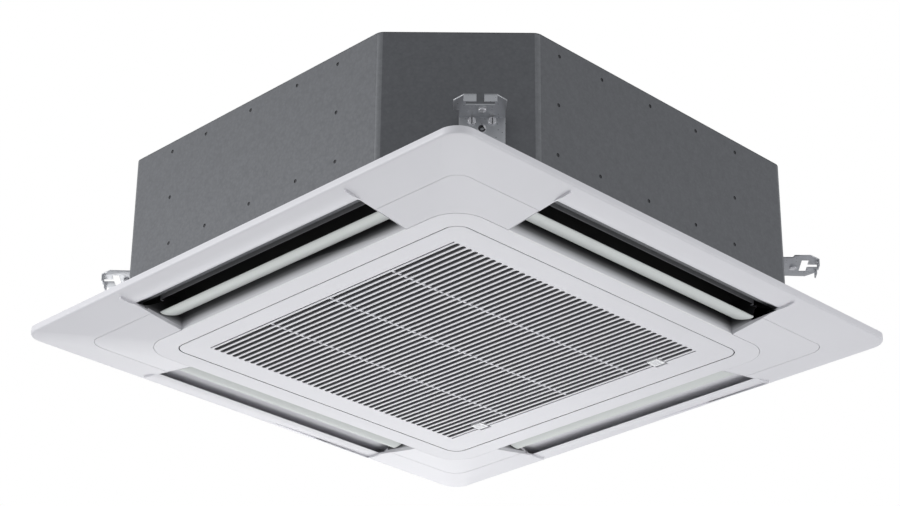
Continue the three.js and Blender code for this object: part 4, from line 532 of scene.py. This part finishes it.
def slope_slab(low, high):
    """A slab that follows the sloped border, between two heights above its outer face."""
    edge = PANEL_HALF - EDGE_ROUND
    return square_frame("slab", [
        slope_level(edge, low), slope_level(edge, high),
        slope_level(INNER_HALF, high), slope_level(INNER_HALF, low),
    ])


def cover_recess(degrees):
    """The shallow recess of the border in which a corner cover sits."""
    recess = slope_slab(-1, 2.5)
    combined(recess, [raised("plan", cover_outline(0), -60, 0)], "INTERSECT")
    return swung(recess, degrees)


combined(panel, [cover_recess(turn) for turn in CORNER_TURNS.values()], "DIFFERENCE")


def on_a_slope(face):
    """Whether a face lies in one of the four flat slopes of the border."""
    tilt = math.degrees(math.acos(max(-1, min(1, -face.normal.z))))
    return abs(tilt - 8.57) < 0.3 and min(abs(face.normal.x), abs(face.normal.y)) < 0.004


shaded(panel, 40, on_a_slope)
panel_finishes = [panel_white, throat_shade, lip_shade, joint_shade, highlight_white]
for face in panel.data.polygons:
    reach, along = sorted((abs(face.center.x) / MM, abs(face.center.y) / MM), reverse=True)
    height = face.center.z / MM
    finish = panel_white
    # Painted highlight on the chamfer at the inner edge of each outlet.
    if along < 244 and 343.8 < reach < 344.95 and height < -28.6:
        finish = highlight_white
    # Painted shade up the throat walls.
    elif along < 246.5 and 344.3 < reach < 384.5 and height < 23:
        finish = throat_shade
    # Painted shade over the top of the rolled lips.
    elif along < 246.5 and 384 <= reach < 445 and -21 < height:
        finish = lip_shade
    elif reach < 310.8 and height < -26.9:
        finish = joint_shade
    face.material_index = panel_finishes.index(finish)
coated(panel, *panel_finishes)
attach(panel, "cabinet")
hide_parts("panel_frame")

# ---------------------------------------------------------------------------------------------
# The four corner covers, snapped into shallow recesses of the border over the panel screws.
# They are moulded of the same white styrene, and only their fine joint shows.
for corner_name, turn in CORNER_TURNS.items():
    cover = slope_slab(0, 2.2)
    combined(cover, [raised("plan", cover_outline(0.7), -60, 0)], "INTERSECT")
    swung(cover, turn)
    cover.name = f"cover_{corner_name}"
    softened(cover, 0.45, segments=2)
    coated(cover, panel_white)
    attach(cover, "cabinet")
    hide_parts(f"corner_cover_{corner_name}")

# ---------------------------------------------------------------------------------------------
# The four vanes, long blades of light grey plastic, crowned below and hollow above, with an
# arm and a pin moulded on at each end. Each pin turns in the end wall of its outlet.
VANE_TILT = 17.5
vane_grey = moulded("vane_grey", (0.61, 0.635, 0.615), 0.45)
for side_name, turn in SIDE_TURNS.items():
    below, above = [], []
    steps = 28
    for i in range(steps + 1):
        s = -math.cos(i / steps * math.pi)
        swell = math.sqrt(max(0, 1 - s ** 4))
        below.append((s * 22, 2.4 * s * s - 2.8 * swell))
        above.append((s * 22, 2.4 * s * s + 2.8 * swell))
    blade = drawn_out("vane", below + above[-2:0:-1], -240, 240)
    softened(blade, 0.9, segments=3, angle=50)
    extras = []
    for end in (-1, 1):
        y0, y1 = sorted((end * 237.2, end * 239.8))
        extras.append(drawn_out("arm", [(-10, 0), (10, 0), (4, 8.6), (-4, 8.6)], y0, y1))
        reach = 252.2 if end > 0 else 248
        angles = [k / 16 * 2 * math.pi for k in range(16)]
        pin = [(2.5 * math.cos(angle), 6 + 2.5 * math.sin(angle)) for angle in angles]
        y0, y1 = sorted((end * 238, end * reach))
        extras.append(drawn_out("pin", pin, y0, y1))
    for extra in extras:
        softened(extra, 0.5, segments=2)
    bm = bmesh.new()
    for part in [blade, *extras]:
        bm.from_mesh(part.data)
    bm.to_mesh(blade.data)
    bm.free()
    for extra in extras:
        bpy.data.objects.remove(extra)
    tilt = Matrix.Rotation(math.radians(VANE_TILT), 4, "Y")
    blade.data.transform(Matrix.Translation((370.5 * MM, 0, -12.5 * MM)) @ tilt)
    swung(blade, turn)
    blade.name = f"blade_{side_name}"
    coated(blade, vane_grey)
    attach(blade, f"vane_{side_name}")
    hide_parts(f"vane_{side_name}")

# ---------------------------------------------------------------------------------------------
# The intake grille, a white moulding with deep slats, stiffened by ribs behind them. It turns
# on two pins at its front edge and carries the filter on its back.
SLAT_COUNT = 44
SLAT_PITCH = 12.1
SLAT_WIDTH = 4.2
FIRST_SLAT = -267.95
LAST_SLAT = FIRST_SLAT + (SLAT_COUNT - 1) * SLAT_PITCH
FIELD_FRONT = FIRST_SLAT - SLAT_WIDTH / 2 - 2.6
FIELD_BACK = LAST_SLAT + SLAT_WIDTH / 2 + 2.6
GRILLE_HALF = 309
LATCH_Y = 247.75


def merged(name, pieces):
    """Several meshes as one piece, with its seams welded and its shading smoothed."""
    bm = bmesh.new()
    for part in pieces:
        bm.from_mesh(part.data)
    mesh = bpy.data.meshes.new(name)
    bmesh.ops.remove_doubles(bm, verts=bm.verts, dist=1e-6)
    bm.to_mesh(mesh)
    bm.free()
    for part in pieces:
        bpy.data.objects.remove(part)
    piece = bpy.data.objects.new(name, mesh)
    scene.collection.objects.link(piece)
    for face in mesh.polygons:
        face.use_smooth = True
    mesh.set_sharp_from_angle(angle=math.radians(40))
    return piece


def slot_outline(y, width, half=266, flats=6):
    """A long slot with round ends, in plan."""
    radius = width / 2
    points = []
    for side in (1, -1):
        for i in range(flats + 1):
            angle = (i / flats - 0.5) * math.pi
            x = half - radius + radius * math.cos(angle)
            points.append((side * x, y + side * radius * math.sin(angle)))
    return points


grille = softened(raised("grille_body", rounded_square(GRILLE_HALF, 22, 16), -30, -18), 0.8, segments=3)
hollow = raised("hollow", rounded_square(GRILLE_HALF - 2.5, 19.5, 16), -27.2, -17)
combined(grille, [hollow], "DIFFERENCE")
field = block("field", (-270, FIELD_FRONT - 4, -28), (270, FIELD_BACK + 4, -18))
combined(grille, [field], "UNION")
slots = [slot_outline(FIELD_FRONT + 1.3, 2.6), slot_outline(FIELD_BACK - 1.3, 2.6)]
slots += [
    slot_outline(FIRST_SLAT + (i + 0.5) * SLAT_PITCH, SLAT_PITCH - SLAT_WIDTH)
    for i in range(SLAT_COUNT - 1)
]
openings = [raised("slot", slot, -31, -17) for slot in slots]
combined(grille, [merged("slots", openings)], "DIFFERENCE")
pockets = [
    block("pocket", (x - 12.3, LATCH_Y - 11.4, -31), (x + 12.3, LATCH_Y + 16, -17))
    for x in (-LATCH_X, LATCH_X)
]
notches = [
    block("notch", (x - 5.5, -310, -27.2), (x + 5.5, -305.5, -17))
    for x in (-HINGE_X, HINGE_X)
]
combined(grille, pockets + notches, "DIFFERENCE")
softened(grille, 0.45, segments=2, angle=40, smooth=40)
slot_shade = darkened_upward(
    moulded("slot_shade", PANEL_TONE, 0.6),
    [(-29.9, 0.95), (-29.3, 0.6), (-28.2, 0.3), (-24, 0.13), (-18, 0.07)],
)
grille_finishes = [panel_white, slot_shade, joint_shade]
for face in grille.data.polygons:
    x, y, z = face.center / MM
    in_field = abs(x) < 266.6 and FIELD_FRONT - 0.4 < y < FIELD_BACK + 0.4
    finish = panel_white
    if in_field and -29.95 < z and face.normal.z < 0.5:
        finish = slot_shade
    elif max(abs(x), abs(y)) > 308.3 and -29.5 < z:
        finish = joint_shade
    face.material_index = grille_finishes.index(finish)
ribs = [
    block("rib", (x - 1.8, FIELD_FRONT - 1, -28.4), (x + 1.8, FIELD_BACK + 1, -18.2))
    for x in (-132, 0, 132)
]
cheeks = []
for x in (-HINGE_X, HINGE_X):
    for end in (-1, 1):
        x0, x1 = sorted((x + end * 5.5, x + end * 7.5))
        cheeks.append(drawn_across("cheek", [
            (-292, -27.6), (-282, -27.6), (-282.6, -20.4),
            (-284.4, -19.8), (-289.6, -19.8), (-291.4, -20.4),
        ], x0, x1))
    cheeks.append(round_bar("pin", 1.5, (x - 7, HINGE_Y, HINGE_Z), (x + 7, HINGE_Y, HINGE_Z), sides=24))
for extra in ribs + cheeks:
    softened(extra, 0.3, segments=2)
grille = merged("grille_face", [grille, *ribs, *cheeks])
coated(grille, *grille_finishes)
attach(grille, "grille")
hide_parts("intake_grille")

# ---------------------------------------------------------------------------------------------
# The two latches of the grille: a grooved thumb slide in a pocket between the last slats,
# with a tongue behind the face that runs out over a strike on the panel.
for side_name, side in (("left", -1), ("right", 1)):
    x = side * LATCH_X
    knob = block("knob", (x - 10.5, LATCH_Y - 10, -30.6), (x + 10.5, LATCH_Y + 10, -16.5))
    grooves = [
        block("groove", (x - 7.5, LATCH_Y + k - 1, -32), (x + 7.5, LATCH_Y + k + 1, -29.4))
        for k in (-6, -2, 2, 6)
    ]
    combined(knob, grooves, "DIFFERENCE")
    softened(knob, 0.5, segments=2)
    plate = block("plate", (x - 14.5, LATCH_Y - 14, -17.7), (x + 14.5, LATCH_Y + 10, -15.7))
    tongue = block("tongue", (x - 8, LATCH_Y + 9, -17.7), (x + 8, 308.5, -15.7))
    softened(plate, 0.4, segments=2)
    softened(tongue, 0.4, segments=2)
    latch = merged(f"latch_{side_name}_slide", [knob, plate, tongue])
    # The slides take the highlight white, painted brighter than the panel round them.
    coated(latch, highlight_white)
    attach(latch, f"latch_{side_name}")
    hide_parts(f"grille_latch_{side_name}")

# ---------------------------------------------------------------------------------------------
# The cabinet wall, one strip of galvanised sheet folded to eight sides, with its lower edge
# turned in. Press marks of the foam pins stand in rows on its broad sides.
CABINET_HALF = 430
CABINET_CUT = 157
GAS_PIPE = (240, 186)
LIQUID_PIPE = (192, 160)
DRAIN_X, DRAIN_Z = -250, 198
GLAND_X, GLAND_Z = 200, 90


def cabinet_outline(inset, fold=0):
    """The eight-sided outline in plan, drawn in by an inset, with its folds rounded."""
    half = CABINET_HALF - inset
    inner = half - (CABINET_CUT - inset * (2 - math.sqrt(2)))
    corners = [
        (half, -inner), (half, inner), (inner, half), (-inner, half),
        (-half, inner), (-half, -inner), (-inner, -half), (inner, -half),
    ]
    if not fold:
        return corners
    points = []
    for i, corner in enumerate(corners):
        here = Vector(corner)
        before = (Vector(corners[i - 1]) - here).normalized()
        after = (Vector(corners[(i + 1) % 8]) - here).normalized()
        for k in range(7):
            t = k / 6
            start, end = here + before * fold, here + after * fold
            place = start * (1 - t) ** 2 + here * 2 * t * (1 - t) + end * t * t
            points.append(tuple(place))
    return points


def galvanised(name, tone, roughness, spangle=0.16, scale=55, bloom_scale=22):
    """Zinc-coated sheet: soft spangle in the reflection and a dull bloom."""
    material = bpy.data.materials.new(name)
    material.use_nodes = True
    tree = material.node_tree
    surface = tree.nodes["Principled BSDF"]
    surface.inputs["Metallic"].default_value = 0.55
    where = tree.nodes.new("ShaderNodeTexCoord")
    flakes = tree.nodes.new("ShaderNodeTexVoronoi")
    flakes.inputs["Scale"].default_value = scale
    tree.links.new(where.outputs["Object"], flakes.inputs["Vector"])
    bloom = tree.nodes.new("ShaderNodeTexNoise")
    bloom.inputs["Scale"].default_value = bloom_scale
    bloom.inputs["Detail"].default_value = 8
    bloom.inputs["Roughness"].default_value = 0.7
    tree.links.new(where.outputs["Object"], bloom.inputs["Vector"])
    both = tree.nodes.new("ShaderNodeMix")
    both.data_type = "FLOAT"
    both.inputs["Factor"].default_value = 0.7
    tree.links.new(flakes.outputs["Color"], both.inputs["A"])
    tree.links.new(bloom.outputs["Fac"], both.inputs["B"])
    shade = tree.nodes.new("ShaderNodeValToRGB")
    shade.color_ramp.elements[0].position = 0.25
    shade.color_ramp.elements[1].position = 0.75
    shade.color_ramp.elements[0].color = (*[c * (1 - spangle) for c in tone], 1)
    shade.color_ramp.elements[1].color = (*[c * (1 + spangle) for c in tone], 1)
    tree.links.new(both.outputs["Result"], shade.inputs["Fac"])
    tree.links.new(shade.outputs["Color"], surface.inputs["Base Color"])
    gloss = tree.nodes.new("ShaderNodeMapRange")
    gloss.inputs["To Min"].default_value = roughness - 0.08
    gloss.inputs["To Max"].default_value = roughness + 0.08
    tree.links.new(flakes.outputs["Distance"], gloss.inputs["Value"])
    tree.links.new(gloss.outputs["Result"], surface.inputs["Roughness"])
    relief = tree.nodes.new("ShaderNodeBump")
    relief.inputs["Strength"].default_value = 0.25
    relief.inputs["Distance"].default_value = 0.0003
    tree.links.new(bloom.outputs["Fac"], relief.inputs["Height"])
    tree.links.new(relief.outputs["Normal"], surface.inputs["Normal"])
    return material


wall_zinc = galvanised("wall_zinc", (0.142, 0.146, 0.155), 0.55, spangle=0.1, scale=240, bloom_scale=75)
# A lighter, glossier copy of the wall zinc for the rounded folds: a painted highlight.
fold_highlight_zinc = galvanised("fold_highlight_zinc", (0.205, 0.21, 0.22), 0.45, spangle=0.12, scale=240, bloom_scale=75)
# A dark copy of the wall zinc for the dents: painted shade in the press marks.
dent_shade = galvanised("dent_shade", (0.05, 0.051, 0.055), 0.6, spangle=0.2, scale=240)
wall = raised("wall", cabinet_outline(0, 7), 0, 238.5)
hollow = raised("hollow", cabinet_outline(1.2, 6), 1.2, 260)
mouth = raised("mouth", cabinet_outline(22), -5, 20)
pipe_gap = block("pipe_gap", (-440, 178, 143), (-400, 257, 208))
drain_gap = round_bar("drain_gap", 16.5, (DRAIN_X, 400, DRAIN_Z), (DRAIN_X, 440, DRAIN_Z))
gland_gap = round_bar("gland_gap", 14.3, (GLAND_X, 400, GLAND_Z), (GLAND_X, 440, GLAND_Z))
combined(wall, [hollow, mouth, pipe_gap, drain_gap, gland_gap], "DIFFERENCE")

marks = []
front_rows = {223: (187, 100, -3, -106, -186), 144: (187, -185), 65: (188, 105, 4, -96, -180)}
right_rows = {220: (-229, -139, -33, 71, 164), 140: (-232, 158), 60: (-235, -147, -43, 62, 152)}
for z, places in front_rows.items():
    marks += [((x, -CABINET_HALF, z), (0, -1, 0)) for x in places]
    marks += [((-x, CABINET_HALF, z), (0, 1, 0)) for x in places if not (z > 150 and abs(x + 250) < 40)]
for z, places in right_rows.items():
    marks += [((CABINET_HALF, y, z), (1, 0, 0)) for y in places]
    marks += [((-CABINET_HALF, -y, z), (-1, 0, 0)) for y in places if not (z > 120 and -y > 150)]
marks = [(Vector(place), Vector(out)) for place, out in marks]
dents = [round_bar("dent", 2.9, place - out * 0.8, place + out * 2, sides=20) for place, out in marks]
combined(wall, [merged("dents", dents)], "DIFFERENCE")
softened(wall, 0.35, segments=2, angle=40, smooth=35)
wall_finishes = [wall_zinc, fold_highlight_zinc, dent_shade]
for face in wall.data.polygons:
    middle = face.center / MM
    finish = wall_zinc
    # The faces in and round the dents take the painted shade.
    if any((middle - place).length < 3.6 for place, out in marks):
        finish = dent_shade
    # The faces of the rounded folds take the painted highlight.
    upright = math.hypot(face.normal.x, face.normal.y) > 0.95
    turned = math.degrees(math.atan2(face.normal.y, face.normal.x)) % 45
    if upright and 6 < turned < 39 and face.area > 1e-4:
        finish = fold_highlight_zinc
    face.material_index = wall_finishes.index(finish)
coated(wall, *wall_finishes)
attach(wall, "cabinet")
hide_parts("cabinet_wall")

# ---------------------------------------------------------------------------------------------
# The hanger brackets, pressed of bright zinc-plated sheet and screwed to the cut corners. A
# hanger rod slips in through the open mouth of each ear; folded lips keep its washer in.
def rounded_sheet(name, outline, z0, z1, edge):
    """A plate with rounded edges, between two heights."""
    curve = bpy.data.curves.new(name, "CURVE")
    curve.dimensions = "2D"
    curve.fill_mode = "BOTH"
    curve.extrude = (z1 - z0) / 2 * MM - edge * MM
    curve.bevel_depth = edge * MM
    curve.bevel_resolution = 2
    curve.offset = -edge * MM
    spline = curve.splines.new("POLY")
    spline.points.add(len(outline) - 1)
    for point, (x, y) in zip(spline.points, outline):
        point.co = (x * MM, y * MM, 0, 1)
    spline.use_cyclic_u = True
    drawing = bpy.data.objects.new(name, curve)
    scene.collection.objects.link(drawing)
    bpy.context.view_layer.update()
    graph = bpy.context.evaluated_depsgraph_get()
    mesh = bpy.data.meshes.new_from_object(drawing.evaluated_get(graph))
    bpy.data.objects.remove(drawing)
    mesh.transform(Matrix.Translation((0, 0, (z0 + z1) / 2 * MM)))
    piece = bpy.data.objects.new(name, mesh)
    scene.collection.objects.link(piece)
    return piece


CUT_WALL = (2 * CABINET_HALF - CABINET_CUT) / math.sqrt(2)
BRACKET_OFFSETS = {"back_right": -33, "back_left": 33, "front_left": -33, "front_right": 33}
bright_zinc = galvanised("bright_zinc", (0.50, 0.51, 0.53), 0.33, spangle=0.06, scale=160)
screw_steel = galvanised("screw_steel", (0.86, 0.86, 0.88), 0.2, spangle=0.03, scale=300)
screw_shade = galvanised("screw_shade", (0.05, 0.05, 0.055), 0.7, spangle=0.2, scale=300)
for corner_name, turn in CORNER_TURNS.items():
    ear = rounded_sheet("ear", [
        (1.5, -32), (21, -32), (23, -39.5), (48, -39.5), (63, -25.9), (63, -8.4), (47, -8.4), (47, -23),
        (36, -23), (36, 17), (47, 17), (47, 2.4), (63, 2.4), (63, 19.9), (48, 33.5), (21, 32), (1.5, 32),
    ], 102.4, 104.4, 0.35)
    back = block("back", (0.3, -32, 45.4), (2.3, 32, 103.6))
    softened(back, 0.5, segments=2)
    lips = [
        softened(block("lip", (61, y0, 92.8), (63, y0 + 17.5, 104)), 0.5, segments=2)
        for y0 in (-25.9, 2.4)
    ]
    screws = []
    for y in (-14, 14):
        head = round_bar("head", 5.6, (2.2, y, 95.8), (5.9, y, 95.8), sides=28)
        groove = block("groove", (4.2, y - 0.8, 88), (7, y + 0.8, 104))
        combined(head, [groove], "DIFFERENCE")
        screws.append(softened(head, 0.7, segments=3))
    collar = round_bar("collar", 5.6, (0.4, 0, 83.5), (4.9, 0, 83.5), sides=28)
    combined(collar, [round_bar("bore", 3.0, (-1, 0, 83.5), (8, 0, 83.5))], "DIFFERENCE")
    screws.append(softened(collar, 0.6, segments=3))
    rod_stop = round_bar("head", 5.6, (25.2, 0, 98.8), (25.2, 0, 102.5), sides=28)
    screws.append(softened(rod_stop, 0.8, segments=3))
    for screw in screws:
        for face in screw.data.polygons:
            face.material_index = 1
            in_groove = 88 < face.center.z / MM < 104 and 4.1 < face.center.x / MM < 4.3
            in_bore = math.hypot(face.center.y, face.center.z - 83.5 * MM) < 3.1 * MM
            if in_groove or in_bore:
                face.material_index = 2
    bracket = merged("bracket", [ear, back, *lips, *screws])
    bracket.data.transform(Matrix.Translation((CUT_WALL * MM, BRACKET_OFFSETS[corner_name] * MM, 0)))
    swung(bracket, turn + 45)
    bracket.name = f"bracket_{corner_name}"
    coated(bracket, bright_zinc, screw_steel, screw_shade)
    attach(bracket, "cabinet")
    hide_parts(f"hanger_bracket_{corner_name}")

# ---------------------------------------------------------------------------------------------
# The top plate of the cabinet, the same galvanised sheet, with a raised bead pressed round its
# middle to stiffen it. Eight sheet screws hold it down to the wall.
plate = softened(raised("plate", cabinet_outline(0, 7), 238.8, 240), 0.35, segments=2)
bead = square_frame("bead", [
    (266.6, 60, 239.5), (266.0, 59.4, 240.8), (264.6, 58, 242.2), (262.4, 55.8, 243), (256.8, 50.2, 243),
    (254.6, 48, 242.2), (253.2, 46.6, 240.8), (252.6, 46, 239.5),
])
shaded(bead, 60)
plate_screws = []
for turn in (0, 90, 180, 270):
    for y in (-225, 225):
        head = round_bar("head", 4, (417, y, 239.6), (417, y, 241.6), sides=28)
        groove = block("groove", (412, y - 0.5, 241), (422, y + 0.5, 243))
        combined(head, [groove], "DIFFERENCE")
        softened(head, 0.5, segments=2)
        for face in head.data.polygons:
            face.material_index = 1
        plate_screws.append(swung(head, turn))
top_cover = merged("top_cover", [plate, bead, *plate_screws])
coated(top_cover, wall_zinc, screw_steel)
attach(top_cover, "cabinet")
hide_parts("top_plate")

# ---------------------------------------------------------------------------------------------
# The drain socket, a moulded tube with a collar against the wall and a low barb for the hose,
# and the cable gland, a rubber bush pushed into its hole.
grey_moulding = moulded("grey_moulding", (0.22, 0.23, 0.24), 0.5, shade=0.05)
black_rubber = moulded("black_rubber", (0.02, 0.02, 0.021), 0.8, grain=0.8, shade=0.2)


def ringed_tube(name, bore, rings):
    """A bored tube along y, joined from rings of (radius, start, end)."""
    tube = round_bar(name, rings[0][0], (0, rings[0][1], 0), (0, rings[0][2], 0), sides=56)
    others = [
        round_bar("ring", radius, (0, y0, 0), (0, y1, 0), sides=56) for radius, y0, y1 in rings[1:]
    ]
    combined(tube, others, "UNION")
    combined(tube, [round_bar("bore", bore, (0, 300, 0), (0, 500, 0), sides=48)], "DIFFERENCE")
    return tube


socket = ringed_tube("socket_tube", 13, [
    (15.4, 409.5, 462), (21.7, 430.3, 433.3), (16, 448, 452), (16, 456, 460),
])
softened(socket, 0.7, segments=3)
socket.data.transform(Matrix.Translation((DRAIN_X * MM, 0, DRAIN_Z * MM)))
coated(socket, grey_moulding)
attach(socket, "cabinet")
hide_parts("drain_socket")

bush = ringed_tube("cable_bush", 10, [(13.8, 418.5, 433), (18.8, 430.3, 435)])
softened(bush, 1.2, segments=4)
bush.data.transform(Matrix.Translation((GLAND_X * MM, 0, GLAND_Z * MM)))
coated(bush, black_rubber)
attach(bush, "cabinet")
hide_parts("cable_gland")

# ---------------------------------------------------------------------------------------------
# The two forged brass flare nuts that close the pipe ends until the unit is piped, and the
# sheet plate, held by four screws, through which the pipes leave the cabinet.
forged_brass = galvanised("forged_brass", (0.55, 0.40, 0.16), 0.35, spangle=0.04, scale=90)
GAS_BORE = 8.44
LIQUID_BORE = 5.26
for nut_name, node_name, radius, bore, (y, z) in (
    ("gas_nut", "gas_flare_nut", 14.4, GAS_BORE, GAS_PIPE),
    ("liquid_nut", "liquid_flare_nut", 11.2, LIQUID_BORE, LIQUID_PIPE),
):
    nut = round_bar(nut_name, radius, (-454, y, z), (-434, y, z), sides=6)
    turned_edge = round_bar("turned_edge", radius * 0.955, (-455, y, z), (-433, y, z), sides=48)
    combined(nut, [turned_edge], "INTERSECT")
    combined(nut, [round_bar("bore", bore, (-448.3, y, z), (-430, y, z), sides=40)], "DIFFERENCE")
    softened(nut, 0.6, segments=2)
    coated(nut, forged_brass)
    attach(nut, "cabinet")
    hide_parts(node_name)

low, high = (Vector(corner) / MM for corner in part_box("pipe_cover_plate"))
pipe_plate = block("pipe_plate", low, high)
pipe_holes = [
    round_bar("hole", bore, (-440, y, z), (-425, y, z))
    for bore, (y, z) in ((GAS_BORE, GAS_PIPE), (LIQUID_BORE, LIQUID_PIPE))
]
combined(pipe_plate, pipe_holes, "DIFFERENCE")
softened(pipe_plate, 0.35, segments=2)
plate_screws = []
for y in (low.y + 7, high.y - 7):
    for z in (low.z + 7, high.z - 7):
        head = round_bar("head", 3.6, (low.x - 1.6, y, z), (low.x + 0.2, y, z), sides=28)
        groove = block("groove", (low.x - 3, y - 4, z - 0.5), (low.x - 0.7, y + 4, z + 0.5))
        combined(head, [groove], "DIFFERENCE")
        softened(head, 0.5, segments=2)
        for face in head.data.polygons:
            face.material_index = 1
        plate_screws.append(head)
pipe_plate = merged("pipe_exit", [pipe_plate, *plate_screws])
coated(pipe_plate, galvanised("plate_zinc", (0.2, 0.205, 0.215), 0.5), screw_steel)
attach(pipe_plate, "cabinet")
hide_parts("pipe_cover_plate")

# ---------------------------------------------------------------------------------------------
# The bell mouth, a turned black moulding that leads the air into the fan, and the turbo fan
# over it: a shroud and a hub cup of grey plastic with seven blades welded between them.
black_moulding = moulded("black_moulding", (0.03, 0.031, 0.033), 0.5, shade=0.1)


def turned_ring(name, profile, sides=96):
    """A closed profile of (radius, height), turned about the middle of the unit."""
    verts = []
    for k in range(sides):
        angle = k / sides * 2 * math.pi
        verts += [(r * math.cos(angle), r * math.sin(angle), z) for r, z in profile]
    count = len(profile)
    faces = []
    for k in range(sides):
        here, there = k * count, (k + 1) % sides * count
        for i in range(count):
            j = (i + 1) % count
            faces.append((here + i, here + j, there + j, there + i))
    return solid_from(name, verts, faces)


def quarter(radius, z, reach, flats=12):
    """A quarter circle of (radius, height), from below a centre inward to its level."""
    return [
        (radius - reach * math.sin(i / flats * math.pi / 2), z - reach * math.cos(i / flats * math.pi / 2))
        for i in range(flats + 1)
    ]


mouth_ring = turned_ring("mouth_ring", [
    (238, 22), (238, 19.8), *quarter(205, 59.8, 40), (165, 71.8), (167.2, 71.8),
    *quarter(205, 59.8, 37.8)[::-1],
])
softened(mouth_ring, 0.5, segments=2, angle=50)
coated(mouth_ring, black_moulding)
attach(mouth_ring, "cabinet")
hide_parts("bell_mouth")


def shroud_line(lift, flats=12):
    """The curve of the shroud from the eye out to the rim, pushed up by a lift."""
    return [
        (235 - 65 * math.cos(i / flats * math.pi / 2), 65.8 + 32 * math.sin(i / flats * math.pi / 2) + lift)
        for i in range(flats + 1)
    ]


fan_top = (Vector(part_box("turbo_fan")[1]) / MM).z
hub_floor = fan_top - 56
shroud = turned_ring("shroud", shroud_line(0) + shroud_line(2.4)[::-1])
hub = turned_ring("hub", [
    (6.5, hub_floor - 12), (20, hub_floor - 12), (20, hub_floor), (62, hub_floor), (74, hub_floor + 12),
    (78, fan_top - 2.4), (235, fan_top - 2.4), (235, fan_top), (75.6, fan_top),
    (71.6, hub_floor + 14.4), (60.8, hub_floor + 2.4), (6.5, hub_floor + 2.4),
])
BLADE_COUNT = 7
blades = []
for k in range(BLADE_COUNT):
    front, rear = [], []
    for i in range(17):
        share = i / 16
        radius = 150 + 85 * share
        angle = -0.62 * share ** 0.8
        half = 3.5 * math.sqrt(max(0.02, share * (1 - share) * 4))
        x, y = radius * math.cos(angle), radius * math.sin(angle)
        side_x, side_y = math.cos(angle + math.pi / 2 - 0.5), math.sin(angle + math.pi / 2 - 0.5)
        front.append((x + half * side_x, y + half * side_y))
        rear.append((x - half * side_x, y - half * side_y))
    blades.append(swung(raised("blade", rear + front[::-1], 60, fan_top - 1), k * 360 / BLADE_COUNT))
fan_wheel = blades[0]
combined(fan_wheel, blades[1:], "UNION")
room = turned_ring("room", [
    (138, fan_top - 1.2), (138, 97.8), (171, 74.8), *shroud_line(1.2)[1:], (235, fan_top - 1.2),
])
combined(fan_wheel, [room], "INTERSECT")
combined(fan_wheel, [shroud, hub], "UNION")
shaded(fan_wheel, 35)
fan_wheel.name = "fan_wheel"
coated(fan_wheel, grey_moulding)
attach(fan_wheel, "fan")
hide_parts("turbo_fan")

# ---------------------------------------------------------------------------------------------
# The pieces inside, which keep the shape of their solids: sheet, foam, fins, copper, brass,
# rubber and moulded parts, each in its own finish.
def woven(material):
    """Fine square threads of a net, darker in the meshes between them."""
    tree = material.node_tree
    surface = tree.nodes["Principled BSDF"]
    tone = surface.inputs["Base Color"].links[0].from_socket
    where = tree.nodes.new("ShaderNodeTexCoord")
    threads = tree.nodes.new("ShaderNodeMath")
    threads.operation = "MAXIMUM"
    for k, direction in enumerate(("X", "Y")):
        wave = tree.nodes.new("ShaderNodeTexWave")
        wave.bands_direction = direction
        wave.inputs["Scale"].default_value = 105
        tree.links.new(where.outputs["Object"], wave.inputs["Vector"])
        tree.links.new(wave.outputs["Fac"], threads.inputs[k])
    spread = tree.nodes.new("ShaderNodeMapRange")
    spread.inputs["From Min"].default_value = 0.55
    spread.inputs["From Max"].default_value = 0.9
    spread.inputs["To Min"].default_value = 0.25
    spread.inputs["To Max"].default_value = 1.6
    tree.links.new(threads.outputs[0], spread.inputs["Value"])
    mesh_tone = tree.nodes.new("ShaderNodeVectorMath")
    mesh_tone.operation = "SCALE"
    tree.links.new(tone, mesh_tone.inputs[0])
    tree.links.new(spread.outputs["Result"], mesh_tone.inputs["Scale"])
    tree.links.new(mesh_tone.outputs["Vector"], surface.inputs["Base Color"])
    return material


def shaded_outward(material, stops):
    """Shade in the air ducts: (distance in mm from the middle of the unit, share of tone)."""
    tree = material.node_tree
    where = tree.nodes.new("ShaderNodeTexCoord")
    size = tree.nodes.new("ShaderNodeVectorMath")
    size.operation = "ABSOLUTE"
    tree.links.new(where.outputs["Object"], size.inputs[0])
    parts = tree.nodes.new("ShaderNodeSeparateXYZ")
    tree.links.new(size.outputs["Vector"], parts.inputs[0])
    reach = tree.nodes.new("ShaderNodeMath")
    reach.operation = "MAXIMUM"
    tree.links.new(parts.outputs["X"], reach.inputs[0])
    tree.links.new(parts.outputs["Y"], reach.inputs[1])
    return darkened(material, reach.outputs[0], stops)


coatings = {
    "galvanised_steel": galvanised("inner_zinc", (0.16, 0.165, 0.17), 0.5),
    "zinc_plate": bright_zinc,
    "fin_aluminium": galvanised("fins", (0.5, 0.52, 0.54), 0.4, spangle=0.05, scale=400),
    "copper": galvanised("copper_tube", (0.55, 0.25, 0.14), 0.35, spangle=0.05, scale=90),
    "brass": forged_brass,
    "steel": galvanised("turned_steel", (0.30, 0.30, 0.31), 0.35, spangle=0.05, scale=200),
    "white_foam": shaded_outward(
        moulded("bead_foam", (0.62, 0.62, 0.60), 0.9, grain=1.0, shade=0.06),
        [(334, 1), (343, 0.08), (387, 0.06), (398, 0.5)],
    ),
    "dark_foam": moulded("cell_foam", (0.035, 0.036, 0.038), 0.95, grain=1.0, shade=0.3),
    "black_plastic": black_moulding,
    "grey_plastic": grey_moulding,
    "rubber": black_rubber,
    "board_green": moulded("board_lacquer", (0.03, 0.11, 0.06), 0.4, shade=0.1),
    "filter_net": woven(moulded("net_plastic", (0.06, 0.065, 0.07), 0.8, grain=1.0, shade=0.3)),
    "panel_white": panel_white,
    "vane_grey": vane_grey,
}
slot_of = {part["node"]: part["material_slot"] for part in frame["record"]["subparts"]}
for node_name, node in frame["nodes"].items():
    coating = coatings[slot_of[node_name]]
    node.data.materials.clear()
    node.data.materials.append(coating)
